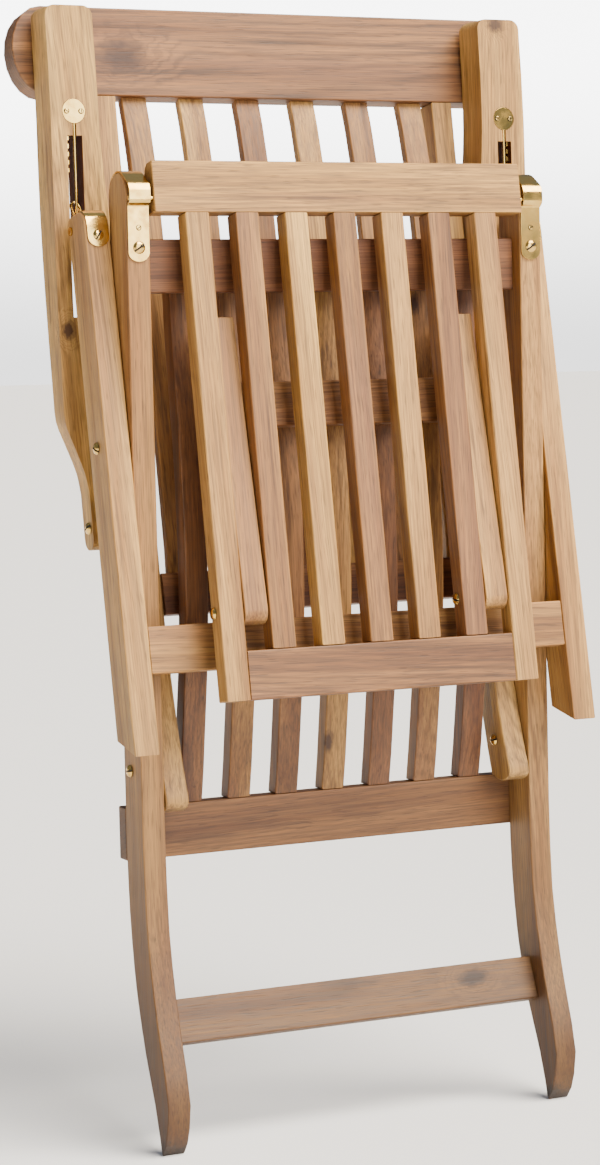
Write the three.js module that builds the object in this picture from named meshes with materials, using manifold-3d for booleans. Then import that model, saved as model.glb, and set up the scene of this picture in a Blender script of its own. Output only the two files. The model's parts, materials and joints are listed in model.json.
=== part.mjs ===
// Folding teak deck chair with arms and a footrest, folded flat and standing on its two feet.
// Millimetres. X runs across the chair, Y away from the viewer, Z up along the seat rails.
// The underside of the seat faces -Y, the seating side faces +Y.
import * as THREE from "three";
import { mergeVertices } from "three/addons/utils/BufferGeometryUtils.js";
import Module from "manifold-3d";

const wasm = await Module();
wasm.setup();

// Driving dimensions
// Seat frame
const innerWidth = 463; // between the two seat rails
const railThickness = 27;
const railDepth = 50;
const railLength = 1080;
const rearRailHeight = 60;
const rearRailThickness = 21;
const crossRailHeight = 59;
const crossRailThickness = 24;
const footStretcherHeight = 50;
const footStretcherThickness = 20;
const seatSlatWidth = 28;
const seatSlatThickness = 21.5;
const seatSlatPitch = 59.5;

// Front legs, which cross the seat rails outside
const legThickness = 29;
const legDepth = 49.4;
const legUpperLength = 262.5;
const legLowerLength = 341;
const soleRise = 20; // the back corner of the leg's foot is cut this much higher
const legStretcherHeight = 52;
const legStretcherThickness = 19;
const legStretcherDrop = 227; // below the pivot, along the leg
const legStretcherSetback = 1; // behind the front edge of the legs
const legArmClearance = 5.6; // between the leg's top and the armrest's underside

// Back frame
const stileWidth = 27;
const stileFootDepth = 44;
const stileHeadDepth = 31;
const headRailHeight = 102;
const headRailThickness = 31;
const headRailWidth = 647;
const lowerBackRailHeight = 47;
const lowerBackRailThickness = 20;
const backSlatWidth = 31;
const backSlatThickness = 12;
const backSlatPitch = 71;

// Armrests
const armWidth = 69;
const armTipRadius = 11.5; // of the rounded corners at the armrest's tip
const armTailWidth = 44;
const armPivotRadius = 26; // of the rounded tail
const slotWidth = 18;
const slotLength = 202;
const slotPlateRise = 27; // plate's middle above the slot's upper end
const catchClearance = 31; // from the wire loop to the catch above it
const slotRodRadius = 1.8;
const slotRodInset = 3; // rod axis behind the underside
const slotPlateRadius = 13.5;
const plateThickness = 2.5;
const rackThickness = 3;
const rackDepth = 12;
const rackLength = 40;
const rackPitch = 9;

// Footrest
const footrestWidth = 458;
const footrestThickness = 24;
const footrestFront = 5.7; // front face of the panel ahead of the hinge pins
const footrestLength = 553; // from the hinge pins to the end of the outer slats
const footrestTopRailRise = 41; // above the hinge pins
const footrestTopRailDrop = 16;
const footrestEndRailHeight = 54;
const footrestSlatWidth = 28.5;
const footrestSlatPitch = 59.8;
const footrestLegDepth = 40;
const footrestLegEyeRadius = 14.7; // of the rounded lower end, about its bolt
const footrestLegWidth = 28;
const footrestLegPivotDrop = 456;
const footrestLegPivotInset = 9; // bolt behind the hinge pins, square to the panel
const footrestLegReach = 327; // from the bolt to the free end
const footrestLegRailHeight = 51;
const footrestLegRailThickness = 14;
const footrestLegRailReach = 234; // from the bolt to the middle of the rail

// Brass and joints
const strapThickness = 1.8;
const strapWidth = 25;
const pinSeatBulge = 9; // how far the hook stands off the rail for the footrest's pin
const hingePinRadius = 3;
const hingePinClearance = 0.9; // in front of the rail
const boltRadius = 4;
const boltHeadRadius = 7;
const boltHeadHeight = 4;
const smallBoltRadius = 3.4;
const bailPinRadius = 2.6;
const bailWireRadius = 1.7;
const bailWidth = 10;
const bailReachY = 28.5;
const bailReachZ = 34.5;
const bailPinInset = 16; // from the top end of the leg, and behind its middle line
const tenonLength = 14;
const stubLength = 8;
const tenonThickness = 8;
const gap = 0.4; // between pieces that touch
const sidePlay = 1; // between pieces that turn past each other
const edgeChamfer = 1.2;
const weld = 1e-4;

// Shapes given as shares of a length, so that they keep their form at any size
// Front edge of a seat rail's foot: [height share of railLength, depth share of railDepth]
const footFrontShares = [
  [0.37, 0], [0.3194, -0.005], [0.2278, -0.1], [0.1583, -0.4], [0.1148, -0.68], [0.0537, -1.06],
  [0.0125, -0.84],
];
// Back edge of the foot, from the pointed tip upwards
const footBackShares = [
  [0, -0.62], [0.05, -0.26], [0.0972, 0.2], [0.1435, 0.54], [0.1806, 0.74], [0.2426, 0.93],
  [0.31, 1], [0.37, 1],
];
// Underside of a seat slat: [height share of railLength, depth share of railDepth]
const seatCurveShares = [
  [0.88, 0.85], [0.835, 0.79], [0.787, 0.66], [0.7315, 0.5], [0.6639, 0.385], [0.6111, 0.35], [0.56, 0.36],
  [0.5093, 0.44], [0.4657, 0.57], [0.4074, 0.77], [0.3505, 0.98],
];
// Middle line of a back stile: [height share, depth share], both of railLength
const stileShares = [
  [0.3576, 0.0176], [0.3898, 0.0287], [0.4722, 0.052], [0.5556, 0.0704], [0.638, 0.0833], [0.738, 0.1],
  [0.8778, 0.1259], [1.0185, 0.1509], [1.0861, 0.1605],
];
// Middle line of a back slat, in the same shares
const backSlatShares = [
  [0.5889, 0.0617], [0.6481, 0.0716], [0.738, 0.0869], [0.8204, 0.1009], [0.8778, 0.1111], [1.0185, 0.1384],
  [1.0848, 0.1597],
];
// Underside of an armrest from tail to tip, and its upper side from tip to tail, in the same shares
const armUnderShares = [
  [0.648, 0.0755], [0.687, 0.0822], [0.75, 0.0862], [0.813, 0.0905], [0.8704, 0.0958], [1.0648, 0.1],
  [1.15, 0.107], [1.19, 0.1105],
];
const armUpperShares = [
  [1.19, 0.153], [1.0833, 0.1445], [0.98, 0.1413], [0.8759, 0.1315], [0.75, 0.1135], [0.685, 0.1075],
];
// Inner edge of an armrest, seen from below: [height share of railLength, inset share of armWidth]
const armInnerShares = [
  [0.9, 0], [0.962, 0.05], [0.988, 0.095], [1.034, 0.15], [1.08, 0.178], [1.157, 0.188],
];
// Outer edge where the armrest narrows to its tail
const armOuterShares = [
  [0.77, 0], [0.749, 0.012], [0.732, 0.1], [0.705, 0.26], [0.685, 0.345], [0.66, 0.3623],
];
// Places up the chair, as shares of railLength
const heightShares = {
  footStretcher: 0.1278, rearRail: 0.3213, backPivot: 0.3898, lowerBackRail: 0.5667, armPivot: 0.638,
  legPivot: 0.7222, crossRail: 0.9056, hookShank: 0.9093, seatSlatTop: 0.9315, hookBack: 0.9574,
  footrestHinge: 0.9731, headRail: 1.1343, armTip: 1.178,
};
// Places through the back and the armrests, as shares of railLength too, because both lean along it
const leanShares = { backPivot: 0.0287, lowerBackRail: 0.0593, armPivot: 0.0833, headRail: 0.1676 };
// Places through the seat rails, as shares of railDepth
const depthShares = { crossRail: 0.59, footStretcher: 0.1, legPivot: 0.56 };

// Derived values
const crossRailY = depthShares.crossRail * railDepth;
const crossRailZ = heightShares.crossRail * railLength;
const rearRailZ = heightShares.rearRail * railLength;
const footStretcherY = depthShares.footStretcher * railDepth;
const footStretcherZ = heightShares.footStretcher * railLength;
const seatSlatTop = heightShares.seatSlatTop * railLength;
const legPivotY = depthShares.legPivot * railDepth;
const legPivotZ = heightShares.legPivot * railLength;
const backPivotY = leanShares.backPivot * railLength;
const backPivotZ = heightShares.backPivot * railLength;
const headRailY = leanShares.headRail * railLength;
const headRailZ = heightShares.headRail * railLength;
const lowerBackRailY = leanShares.lowerBackRail * railLength;
const lowerBackRailZ = heightShares.lowerBackRail * railLength;
const armPivotY = leanShares.armPivot * railLength;
const armPivotZ = heightShares.armPivot * railLength;
const armTipZ = heightShares.armTip * railLength;
const footrestPivotY = -(hingePinRadius + hingePinClearance);
const footrestPivotZ = heightShares.footrestHinge * railLength;
const hookBackEnd = heightShares.hookBack * railLength;
const hookShankEnd = heightShares.hookShank * railLength;
const half = innerWidth / 2;
const railOuter = half + railThickness;
const legInner = railOuter + sidePlay;
const legOuter = legInner + legThickness;
const stileOuter = half - sidePlay;
const stileInner = stileOuter - stileWidth;
const armInner = half + sidePlay;
const armOuter = armInner + armWidth;
const slotCentre = (legInner + legOuter) / 2;
const archRadius = railDepth / 2;
const archZ = railLength - archRadius;
const legLean = leanUpTo(
  lineAt(scaled(armUnderShares, railLength, railLength), legPivotZ + legUpperLength)
    - legArmClearance - legPivotY,
  legUpperLength, legDepth / 2,
);
const panelSlopeShare = 0.153;
const panelLean = Math.atan(panelSlopeShare);
const footrestLegSlopeShare = 0.078; // of the footrest's legs against its slats
const footrestLegLean = Math.atan(footrestLegSlopeShare);
const headSlopeShare = 0.146;
const headLean = Math.atan(headSlopeShare);
const lowerBackSlopeShare = 0.2;
const lowerBackLean = Math.atan(lowerBackSlopeShare);
const footSlopeShare = 0.4;
const footLean = Math.atan(footSlopeShare);
const sides = [["left", -1], ["right", 1]];

// Turns a table of shares into points, lengthwise share first in the table and last in the point.
function scaled(shares, along, across) {
  return shares.map(([z, y]) => [y * across, z * along]);
}

// Depth of a line of points at a height, held at its ends.
function lineAt(line, z) {
  for (let i = 1; i < line.length; i++) {
    const [[ya, za], [yb, zb]] = [line[i - 1], line[i]];
    if (zb >= z) return ya + ((yb - ya) * (z - za)) / (zb - za);
  }
  return line[line.length - 1][0];
}

// Lean that brings a board's far top corner to the given depth past its pivot.
function leanUpTo(depth, length, halfWidth) {
  return Math.asin(depth / Math.hypot(length, halfWidth)) - Math.atan2(halfWidth, length);
}

// Solids
// Turns a three.js geometry into a closed solid.
function solidOf(geometry) {
  const bare = geometry.index ? geometry.toNonIndexed() : geometry.clone();
  bare.deleteAttribute("normal");
  bare.deleteAttribute("uv");
  const merged = mergeVertices(bare, weld);
  const kept = [];
  const index = merged.index.array;
  for (let i = 0; i < index.length; i += 3) {
    const [a, b, c] = [index[i], index[i + 1], index[i + 2]];
    if (a !== b && b !== c && a !== c) kept.push(a, b, c);
  }
  return new wasm.Manifold(
    new wasm.Mesh({
      numProp: 3,
      vertProperties: new Float32Array(merged.attributes.position.array),
      triVerts: new Uint32Array(kept),
    }),
  );
}

function extruded(outline, length, chamfer) {
  const shape = new THREE.Shape(outline.map(([a, b]) => new THREE.Vector2(a, b)));
  const geometry = new THREE.ExtrudeGeometry(shape, {
    depth: length - 2 * chamfer,
    bevelEnabled: chamfer > 0,
    bevelThickness: chamfer,
    bevelSize: chamfer,
    bevelOffset: -chamfer,
    bevelSegments: 1,
    curveSegments: 1,
  });
  geometry.translate(0, 0, chamfer);
  return geometry;
}

const axisX = new THREE.Vector3(1, 0, 0);
const axisY = new THREE.Vector3(0, 1, 0);
const axisZ = new THREE.Vector3(0, 0, 1);

// A board whose outline is drawn in the YZ plane, between two X positions.
function sideBoard(outline, xA, xB, chamfer = edgeChamfer) {
  const [from, to] = [Math.min(xA, xB), Math.max(xA, xB)];
  const geometry = extruded(outline, to - from, chamfer);
  geometry.applyMatrix4(new THREE.Matrix4().makeBasis(axisY, axisZ, axisX));
  geometry.translate(from, 0, 0);
  return solidOf(geometry);
}

// A board whose outline is drawn in the XZ plane, between two Y positions.
function frontBoard(outline, from, to, chamfer = 0) {
  const geometry = extruded(outline, to - from, chamfer);
  geometry.rotateX(Math.PI / 2);
  geometry.translate(0, to, 0);
  return solidOf(geometry);
}

// Turns local (across, along) points about a centre; positive lean takes the top towards +Y.
function lean(points, centre, angle) {
  const [cos, sin] = [Math.cos(angle), Math.sin(angle)];
  return points.map(([u, v]) => [centre[0] + u * cos + v * sin, centre[1] - u * sin + v * cos]);
}

// Four-cornered section with its corners taken off.
function sectionPoints(width, height, cut) {
  const [w, h] = [width / 2, height / 2];
  return [
    [-w + cut, -h], [w - cut, -h], [w, -h + cut], [w, h - cut],
    [w - cut, h], [-w + cut, h], [-w, h - cut], [-w, -h + cut],
  ];
}

function rectanglePoints(width, height) {
  const [w, h] = [width / 2, height / 2];
  return [[-w, -h], [w, -h], [w, h], [-w, h]];
}

// Evenly sampled smooth line through points.
function smooth(points, steps) {
  return new THREE.SplineCurve(points.map(([a, b]) => new THREE.Vector2(a, b)))
    .getPoints(steps)
    .map((p) => [p.x, p.y]);
}

// Band of the given half widths on both sides of a line of points.
function band(line, halfStart, halfEnd) {
  const right = [];
  const left = [];
  line.forEach(([a, b], i) => {
    const [pa, pb] = line[Math.max(i - 1, 0)];
    const [na, nb] = line[Math.min(i + 1, line.length - 1)];
    const length = Math.hypot(na - pa, nb - pb);
    const [ua, ub] = [(na - pa) / length, (nb - pb) / length];
    const width = halfStart + ((halfEnd - halfStart) * i) / (line.length - 1);
    right.push([a + ub * width, b - ua * width]);
    left.push([a - ub * width, b + ua * width]);
  });
  return { right, left, outline: [...right, ...left.reverse()] };
}

// Round bar along X.
function barX(radius, xA, xB, y, z, facets = 16) {
  const length = Math.abs(xB - xA);
  const geometry = new THREE.CylinderGeometry(radius, radius, length, facets);
  geometry.rotateZ(Math.PI / 2);
  geometry.translate((xA + xB) / 2, y, z);
  return solidOf(geometry);
}

// Bolt along X with a domed head on each end, turned as one piece.
function domedBolt(radius, headRadius, headHeight, xA, xB, y, z, facets = 16) {
  const [from, to] = [Math.min(xA, xB) - gap, Math.max(xA, xB) + gap];
  const profile = [[0, from - headHeight]];
  const domeSteps = 3;
  for (let i = 1; i <= domeSteps; i++) {
    const turn = (i / domeSteps) * (Math.PI / 2);
    profile.push([headRadius * Math.sin(turn), from - headHeight * Math.cos(turn)]);
  }
  profile.push([radius, from], [radius, to]);
  for (let i = domeSteps; i >= 1; i--) {
    const turn = (i / domeSteps) * (Math.PI / 2);
    profile.push([headRadius * Math.sin(turn), to + headHeight * Math.cos(turn)]);
  }
  profile.push([0, to + headHeight]);
  const geometry = new THREE.LatheGeometry(profile.map(([r, l]) => new THREE.Vector2(r, l)), facets);
  geometry.rotateZ(-Math.PI / 2);
  geometry.translate(0, y, z);
  return solidOf(geometry);
}

// A rail across the chair with a tenon on each end, and the pockets the tenons need.
function tenonedRail({ centre, height, thickness, angle, from, to, tenon = tenonLength, outline }) {
  const section = outline ?? lean(sectionPoints(thickness, height, edgeChamfer), centre, angle);
  const tongueHeight = height - 2 * tenonThickness;
  const tongue = lean(rectanglePoints(tenonThickness, tongueHeight), centre, angle);
  const pocket = lean(rectanglePoints(tenonThickness + 2 * gap, tongueHeight + 2 * gap), centre, angle);
  const solid = sideBoard(section, from + gap, to - gap, 0)
    .add(sideBoard(tongue, from - tenon, to + tenon, 0));
  return { solid, pockets: sideBoard(pocket, from - tenon - gap, to + tenon + gap, 0) };
}

// Stub tenon on the end of a slat: a block of the slat's width less its shoulders.
function stub(centreX, width, outlineCentre, angle, length) {
  const inner = width - tenonThickness;
  const shape = lean(rectanglePoints(tenonThickness, 2 * length), outlineCentre, angle);
  const hole = lean(rectanglePoints(tenonThickness + 2 * gap, 2 * (length + gap)), outlineCentre, angle);
  return {
    solid: sideBoard(shape, centreX - inner / 2, centreX + inner / 2, 0),
    pocket: sideBoard(hole, centreX - inner / 2 - gap, centreX + inner / 2 + gap, 0),
  };
}

// Materials
const teakLight = new THREE.MeshStandardMaterial({ color: 0xd3ad84, roughness: 0.62, metalness: 0 });
const teakHoney = new THREE.MeshStandardMaterial({ color: 0xc0946a, roughness: 0.62, metalness: 0 });
const teakRed = new THREE.MeshStandardMaterial({ color: 0xa67a58, roughness: 0.64, metalness: 0 });
const brass = new THREE.MeshStandardMaterial({ color: 0xd8b45f, roughness: 0.22, metalness: 1 });

const chair = new THREE.Group();
chair.name = "folding_teak_deck_chair";
const groups = {};
const bodyNames = [
  "seat_frame", "front_legs", "back_frame", "arm_left", "arm_right", "footrest", "footrest_legs",
];
for (const name of bodyNames) {
  groups[name] = new THREE.Group();
  groups[name].name = name + "_group";
  chair.add(groups[name]);
}

function addPiece(group, name, solid, material) {
  const mesh = solid.getMesh();
  const count = mesh.numVert;
  const stride = mesh.numProp;
  const positions = new Float32Array(count * 3);
  for (let i = 0; i < count; i++) {
    positions.set(mesh.vertProperties.subarray(i * stride, i * stride + 3), i * 3);
  }
  const geometry = new THREE.BufferGeometry();
  geometry.setAttribute("position", new THREE.BufferAttribute(positions, 3));
  geometry.setIndex(new THREE.BufferAttribute(new Uint32Array(mesh.triVerts), 1));
  const piece = new THREE.Mesh(geometry, material);
  piece.name = name;
  groups[group].add(piece);
}

// Seat frame
function railOutline() {
  const arch = [];
  const archSteps = 12;
  for (let i = 0; i <= archSteps; i++) {
    const turn = (i / archSteps) * Math.PI;
    arch.push([archRadius + archRadius * Math.cos(turn), archZ + archRadius * Math.sin(turn)]);
  }
  const front = smooth(scaled(footFrontShares, railLength, railDepth), 12);
  const back = smooth(scaled(footBackShares, railLength, railDepth), 14);
  return [...arch, ...front, ...back];
}

const crossRail = tenonedRail({
  centre: [crossRailY, crossRailZ], height: crossRailHeight, thickness: crossRailThickness,
  angle: 0, from: -half, to: half,
});
const footStretcher = tenonedRail({
  centre: [footStretcherY, footStretcherZ], height: footStretcherHeight, thickness: footStretcherThickness,
  angle: footLean, from: -half, to: half,
});
addPiece("seat_frame", "seat_cross_rail", crossRail.solid, teakRed);
addPiece("seat_frame", "foot_stretcher", footStretcher.solid, teakHoney);

for (const [side, sign] of sides) {
  let rail = sideBoard(railOutline(), sign * half, sign * railOuter);
  rail = rail.subtract(crossRail.pockets).subtract(footStretcher.pockets);
  rail = rail.subtract(
    barX(boltRadius + gap, sign * (half - sidePlay), sign * (railOuter + sidePlay), legPivotY, legPivotZ),
  );
  rail = rail.subtract(
    barX(boltRadius + gap, sign * (half - sidePlay), sign * (railOuter + sidePlay), backPivotY, backPivotZ),
  );
  addPiece("seat_frame", "seat_rail_" + side, rail, teakLight);
}

// Rear rail across the top of the seat rails, with pockets for the lower ends of the slats.
const rearRailY = railDepth + gap + rearRailThickness / 2;
const rearRailTop = rearRailZ + rearRailHeight / 2;
let rearRail = sideBoard(
  lean(sectionPoints(rearRailThickness, rearRailHeight, edgeChamfer), [rearRailY, rearRailZ], 0),
  -railOuter, railOuter,
);

const seatUnderside = smooth(scaled(seatCurveShares, railLength, railDepth), 16);
const slatCount = 7;
for (let i = 0; i < slatCount; i++) {
  const x = (i - (slatCount - 1) / 2) * seatSlatPitch;
  const flatY = crossRailY + crossRailThickness / 2 + gap;
  const under = [[flatY, seatSlatTop], ...seatUnderside];
  const lower = [rearRailY - rearRailThickness / 2, rearRailTop + gap];
  const line = [...under.slice(0, -1), lower];
  const upper = line.map(([y, z]) => [y + seatSlatThickness, z]).reverse();
  upper[0] = [lower[0] + rearRailThickness, lower[1]];
  const tongue = stub(x, seatSlatWidth, [rearRailY, rearRailTop], 0, stubLength);
  const slat = sideBoard([...line, ...upper], x - seatSlatWidth / 2, x + seatSlatWidth / 2).add(tongue.solid);
  rearRail = rearRail.subtract(tongue.pocket);
  addPiece("seat_frame", "seat_slat_" + (i + 1), slat, i % 2 ? teakHoney : teakRed);
}
addPiece("seat_frame", "rear_rail", rearRail, teakRed);

// Brass hooks over the upper ends of the rails, which hold the footrest's hinge pins.
function hookSolid(sign) {
  const away = gap + strapThickness / 2;
  const arch = [[railDepth + away, hookBackEnd]];
  const archSteps = 9;
  for (let i = 0; i <= archSteps; i++) {
    const turn = (i / archSteps) * Math.PI * 0.72;
    arch.push([
      archRadius + (archRadius + away) * Math.cos(turn),
      archZ + (archRadius + away) * Math.sin(turn),
    ]);
  }
  const seatZ = footrestPivotZ;
  const seatY = -pinSeatBulge + strapThickness / 2;
  const tail = [
    [seatY * 0.55, seatZ + hingePinRadius * 5.4],
    [seatY * 0.9, seatZ + hingePinRadius * 3.6],
    [seatY, seatZ + hingePinRadius * 1.6],
    [seatY, seatZ - hingePinRadius * 1.2],
    [seatY / 2, seatZ - hingePinRadius * 2.2],
    [-away, seatZ - hingePinRadius * 3],
    [-away, hookShankEnd],
  ];
  const line = [...arch, ...tail];
  const strap = band(line, strapThickness / 2, strapThickness / 2).outline;
  const middle = sign * (half + railThickness / 2);
  const made = sideBoard(strap, middle - strapWidth / 2, middle + strapWidth / 2, 0);
  // The shank ends in a half round.
  const round = strapWidth / 2;
  const corner = [];
  const roundSteps = 8;
  for (let i = 0; i <= roundSteps; i++) {
    const turn = Math.PI + (i / roundSteps) * Math.PI;
    corner.push([middle + round * Math.cos(turn), hookShankEnd + round * 0.8 + round * 0.8 * Math.sin(turn)]);
  }
  const window = [...corner, [middle + round, railLength * 1.1], [middle - round, railLength * 1.1]];
  return made.intersect(frontBoard(window, -railDepth, railDepth * 2));
}
for (const [side, sign] of sides) addPiece("seat_frame", "hook_" + side, hookSolid(sign), brass);

// Front legs
const legCentre = [legPivotY, legPivotZ];
const legHalf = legDepth / 2;
function legOutline() {
  const roundFront = legHalf * 0.75;
  const roundBack = legHalf * 0.3;
  const points = [[-legHalf, -legLowerLength], [legHalf, -legLowerLength + soleRise]];
  const cornerSteps = 5;
  for (let i = 0; i <= cornerSteps; i++) {
    const turn = (i / cornerSteps) * (Math.PI / 2);
    points.push([
      legHalf - roundBack + roundBack * Math.cos(turn),
      legUpperLength - roundBack + roundBack * Math.sin(turn),
    ]);
  }
  for (let i = 0; i <= cornerSteps; i++) {
    const turn = Math.PI / 2 + (i / cornerSteps) * (Math.PI / 2);
    points.push([
      -legHalf + roundFront + roundFront * Math.cos(turn),
      legUpperLength - roundFront + roundFront * Math.sin(turn),
    ]);
  }
  return lean(points, legCentre, legLean);
}
const stretcherAcross = -legHalf + legStretcherSetback + legStretcherThickness / 2;
const [stretcherCentre] = lean([[stretcherAcross, -legStretcherDrop]], legCentre, legLean);
const legStretcher = tenonedRail({
  centre: stretcherCentre, height: legStretcherHeight, thickness: legStretcherThickness,
  angle: legLean, from: -legInner, to: legInner,
});
addPiece("front_legs", "leg_stretcher", legStretcher.solid, teakHoney);

const [bailPin] = lean([[bailPinInset, legUpperLength - bailPinInset]], legCentre, legLean);
for (const [side, sign] of sides) {
  let leg = sideBoard(legOutline(), sign * legInner, sign * legOuter);
  leg = leg.subtract(legStretcher.pockets);
  leg = leg.subtract(
    barX(boltRadius + gap, sign * (legInner - sidePlay), sign * (legOuter + sidePlay), legPivotY, legPivotZ),
  );
  leg = leg.subtract(
    barX(
      bailPinRadius + gap, sign * (legInner - sidePlay), sign * (legOuter + sidePlay), bailPin[0], bailPin[1],
    ),
  );
  // Open slot in the top end for the wire loop.
  const slotFloor = legUpperLength - bailPinInset - bailPinRadius * 2;
  const cheek = lean(
    [[0, slotFloor], [legDepth, slotFloor], [legDepth, legUpperLength * 1.2], [0, legUpperLength * 1.2]],
    legCentre, legLean,
  );
  const loopRoom = bailWidth / 2 + bailWireRadius + sidePlay;
  leg = leg.subtract(sideBoard(cheek, sign * slotCentre - loopRoom, sign * slotCentre + loopRoom, 0));
  addPiece("front_legs", "front_leg_" + side, leg, teakLight);

  // Brass strap over the front of the leg's upper end.
  const away = gap + strapThickness / 2;
  const roundFront = legHalf * 0.75;
  const line = [
    [-legHalf - away, legUpperLength - strapWidth * 1.7], [-legHalf - away, legUpperLength - roundFront],
  ];
  const bendSteps = 6;
  for (let i = 1; i <= bendSteps; i++) {
    const turn = Math.PI - (i / bendSteps) * (Math.PI / 2);
    line.push([
      -legHalf + roundFront + (roundFront + away) * Math.cos(turn),
      legUpperLength - roundFront + (roundFront + away) * Math.sin(turn),
    ]);
  }
  const strapLine = lean(line, legCentre, legLean);
  const strap = band(strapLine, strapThickness / 2, strapThickness / 2).outline;
  const middle = sign * slotCentre;
  const made = sideBoard(strap, middle - strapWidth / 2, middle + strapWidth / 2, 0);
  const round = strapWidth / 2;
  const end = strapLine[0][1];
  const window = [];
  const roundSteps = 8;
  for (let i = 0; i <= roundSteps; i++) {
    const turn = Math.PI + (i / roundSteps) * Math.PI;
    window.push([middle + round * Math.cos(turn), end + round * 0.8 + round * 0.8 * Math.sin(turn)]);
  }
  window.push([middle + round, railLength * 1.1], [middle - round, railLength * 1.1]);
  const strapSolid = made.intersect(frontBoard(window, -railDepth, railDepth * 4));
  addPiece("front_legs", "leg_strap_" + side, strapSolid, brass);

  // Wire loop on its pin: it stands up from the leg into the armrest's slot and goes round the rod there.
  const w = bailWidth / 2;
  const at = (x, share) => new THREE.Vector3(
    middle + x, bailPin[0] + bailReachY * share, bailPin[1] + bailReachZ * share,
  );
  const path = new THREE.CatmullRomCurve3([
    at(-w, 0), at(-w, 0.3), at(-w, 0.6), at(-w, 0.82), at(-w * 0.6, 0.96), at(0, 1),
    at(w * 0.6, 0.96), at(w, 0.82), at(w, 0.6), at(w, 0.3), at(w, 0),
  ]);
  const wireSection = new THREE.Shape();
  wireSection.absarc(0, 0, bailWireRadius, 0, 2 * Math.PI);
  const loop = new THREE.ExtrudeGeometry(wireSection, {
    extrudePath: path, steps: 16, curveSegments: 6, bevelEnabled: false,
  });
  const outerEnd = sign * (legOuter + gap);
  const innerEnd = sign * (legInner + sidePlay);
  const pin = barX(bailPinRadius, innerEnd, outerEnd, bailPin[0], bailPin[1])
    .add(barX(bailPinRadius * 1.9, outerEnd, outerEnd + sign * strapThickness, bailPin[0], bailPin[1]));
  addPiece("front_legs", "bail_" + side, solidOf(loop).add(pin), brass);
}

// Back frame
const backLine = smooth(scaled(stileShares, railLength, railLength), 18);
const headCentre = [headRailY, headRailZ];
const headOutline = [];
{
  const [w, h] = [headRailWidth / 2, headRailHeight / 2];
  const roundDepth = h * 0.72;
  const roundSteps = 10;
  for (let i = 0; i <= roundSteps; i++) {
    const turn = -Math.PI / 2 + (i / roundSteps) * Math.PI;
    headOutline.push([w - roundDepth + roundDepth * Math.cos(turn), h * Math.sin(turn)]);
  }
  for (let i = 0; i <= roundSteps; i++) {
    const turn = Math.PI / 2 + (i / roundSteps) * Math.PI;
    headOutline.push([-w + roundDepth + roundDepth * Math.cos(turn), h * Math.sin(turn)]);
  }
}
let headRail = frontBoard(headOutline, -headRailThickness / 2, headRailThickness / 2, edgeChamfer)
  .rotate([(-headLean * 180) / Math.PI, 0, 0])
  .translate([0, headRailY, headRailZ]);

const lowerBack = tenonedRail({
  centre: [lowerBackRailY, lowerBackRailZ], height: lowerBackRailHeight, thickness: lowerBackRailThickness,
  angle: lowerBackLean, from: -stileInner, to: stileInner,
});
let lowerBackRail = lowerBack.solid;

// Lower edge of the head rail and upper edge of the lower rail, where slats and stiles end.
const [headFoot] = lean([[0, -headRailHeight / 2 - gap]], headCentre, headLean);
const lowerBackCentre = [lowerBackRailY, lowerBackRailZ];
const [lowerTop] = lean([[0, lowerBackRailHeight / 2 + gap]], lowerBackCentre, lowerBackLean);

for (const [side, sign] of sides) {
  const { right, left } = band(backLine, stileFootDepth / 2, stileHeadDepth / 2);
  const foot = backLine[0];
  const round = stileFootDepth / 2;
  const start = Math.atan2(right[0][1] - foot[1], right[0][0] - foot[0]);
  const end = [];
  const endSteps = 10;
  for (let i = 1; i < endSteps; i++) {
    const turn = start - Math.PI + (i / endSteps) * Math.PI;
    end.push([foot[0] + round * Math.cos(turn), foot[1] + round * 0.55 * Math.sin(turn)]);
  }
  const topHalf = stileHeadDepth / 2;
  const outline = [
    ...right.slice(0, -1),
    [headFoot[0] + topHalf, headFoot[1] - topHalf * headSlopeShare],
    [headFoot[0] - topHalf, headFoot[1] + topHalf * headSlopeShare],
    ...left.slice(1), ...end,
  ];
  let stile = sideBoard(outline, sign * stileInner, sign * stileOuter);
  const x = sign * (stileInner + stileOuter) / 2;
  const tongue = stub(x, stileWidth, headFoot, headLean, stubLength * 2);
  stile = stile.add(tongue.solid).subtract(lowerBack.pockets);
  headRail = headRail.subtract(tongue.pocket);
  for (const [y, z] of [[backPivotY, backPivotZ], [armPivotY, armPivotZ]]) {
    stile = stile.subtract(
      barX(boltRadius + gap, sign * (stileInner - sidePlay), sign * (stileOuter + sidePlay), y, z),
    );
  }
  addPiece("back_frame", "back_stile_" + side, stile, teakLight);
}

const backSlatLine = smooth(scaled(backSlatShares, railLength, railLength), 12);
backSlatLine[0] = [lowerTop[0], lowerTop[1]];
backSlatLine[backSlatLine.length - 1] = [headFoot[0], headFoot[1]];
const backSlatCount = 6;
for (let i = 0; i < backSlatCount; i++) {
  const x = (i - (backSlatCount - 1) / 2) * backSlatPitch;
  const outline = band(backSlatLine, backSlatThickness / 2, backSlatThickness / 2).outline;
  const upper = stub(x, backSlatWidth, headFoot, headLean, stubLength);
  const lower = stub(x, backSlatWidth, lowerTop, lowerBackLean, stubLength);
  let slat = sideBoard(outline, x - backSlatWidth / 2, x + backSlatWidth / 2);
  slat = slat.subtract(headRail).subtract(lowerBackRail).add(upper.solid).add(lower.solid);
  headRail = headRail.subtract(upper.pocket);
  lowerBackRail = lowerBackRail.subtract(lower.pocket);
  addPiece("back_frame", "back_slat_" + (i + 1), slat, i % 2 ? teakLight : teakHoney);
}
addPiece("back_frame", "head_rail", headRail, teakRed);
addPiece("back_frame", "lower_back_rail", lowerBackRail, teakRed);

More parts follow.
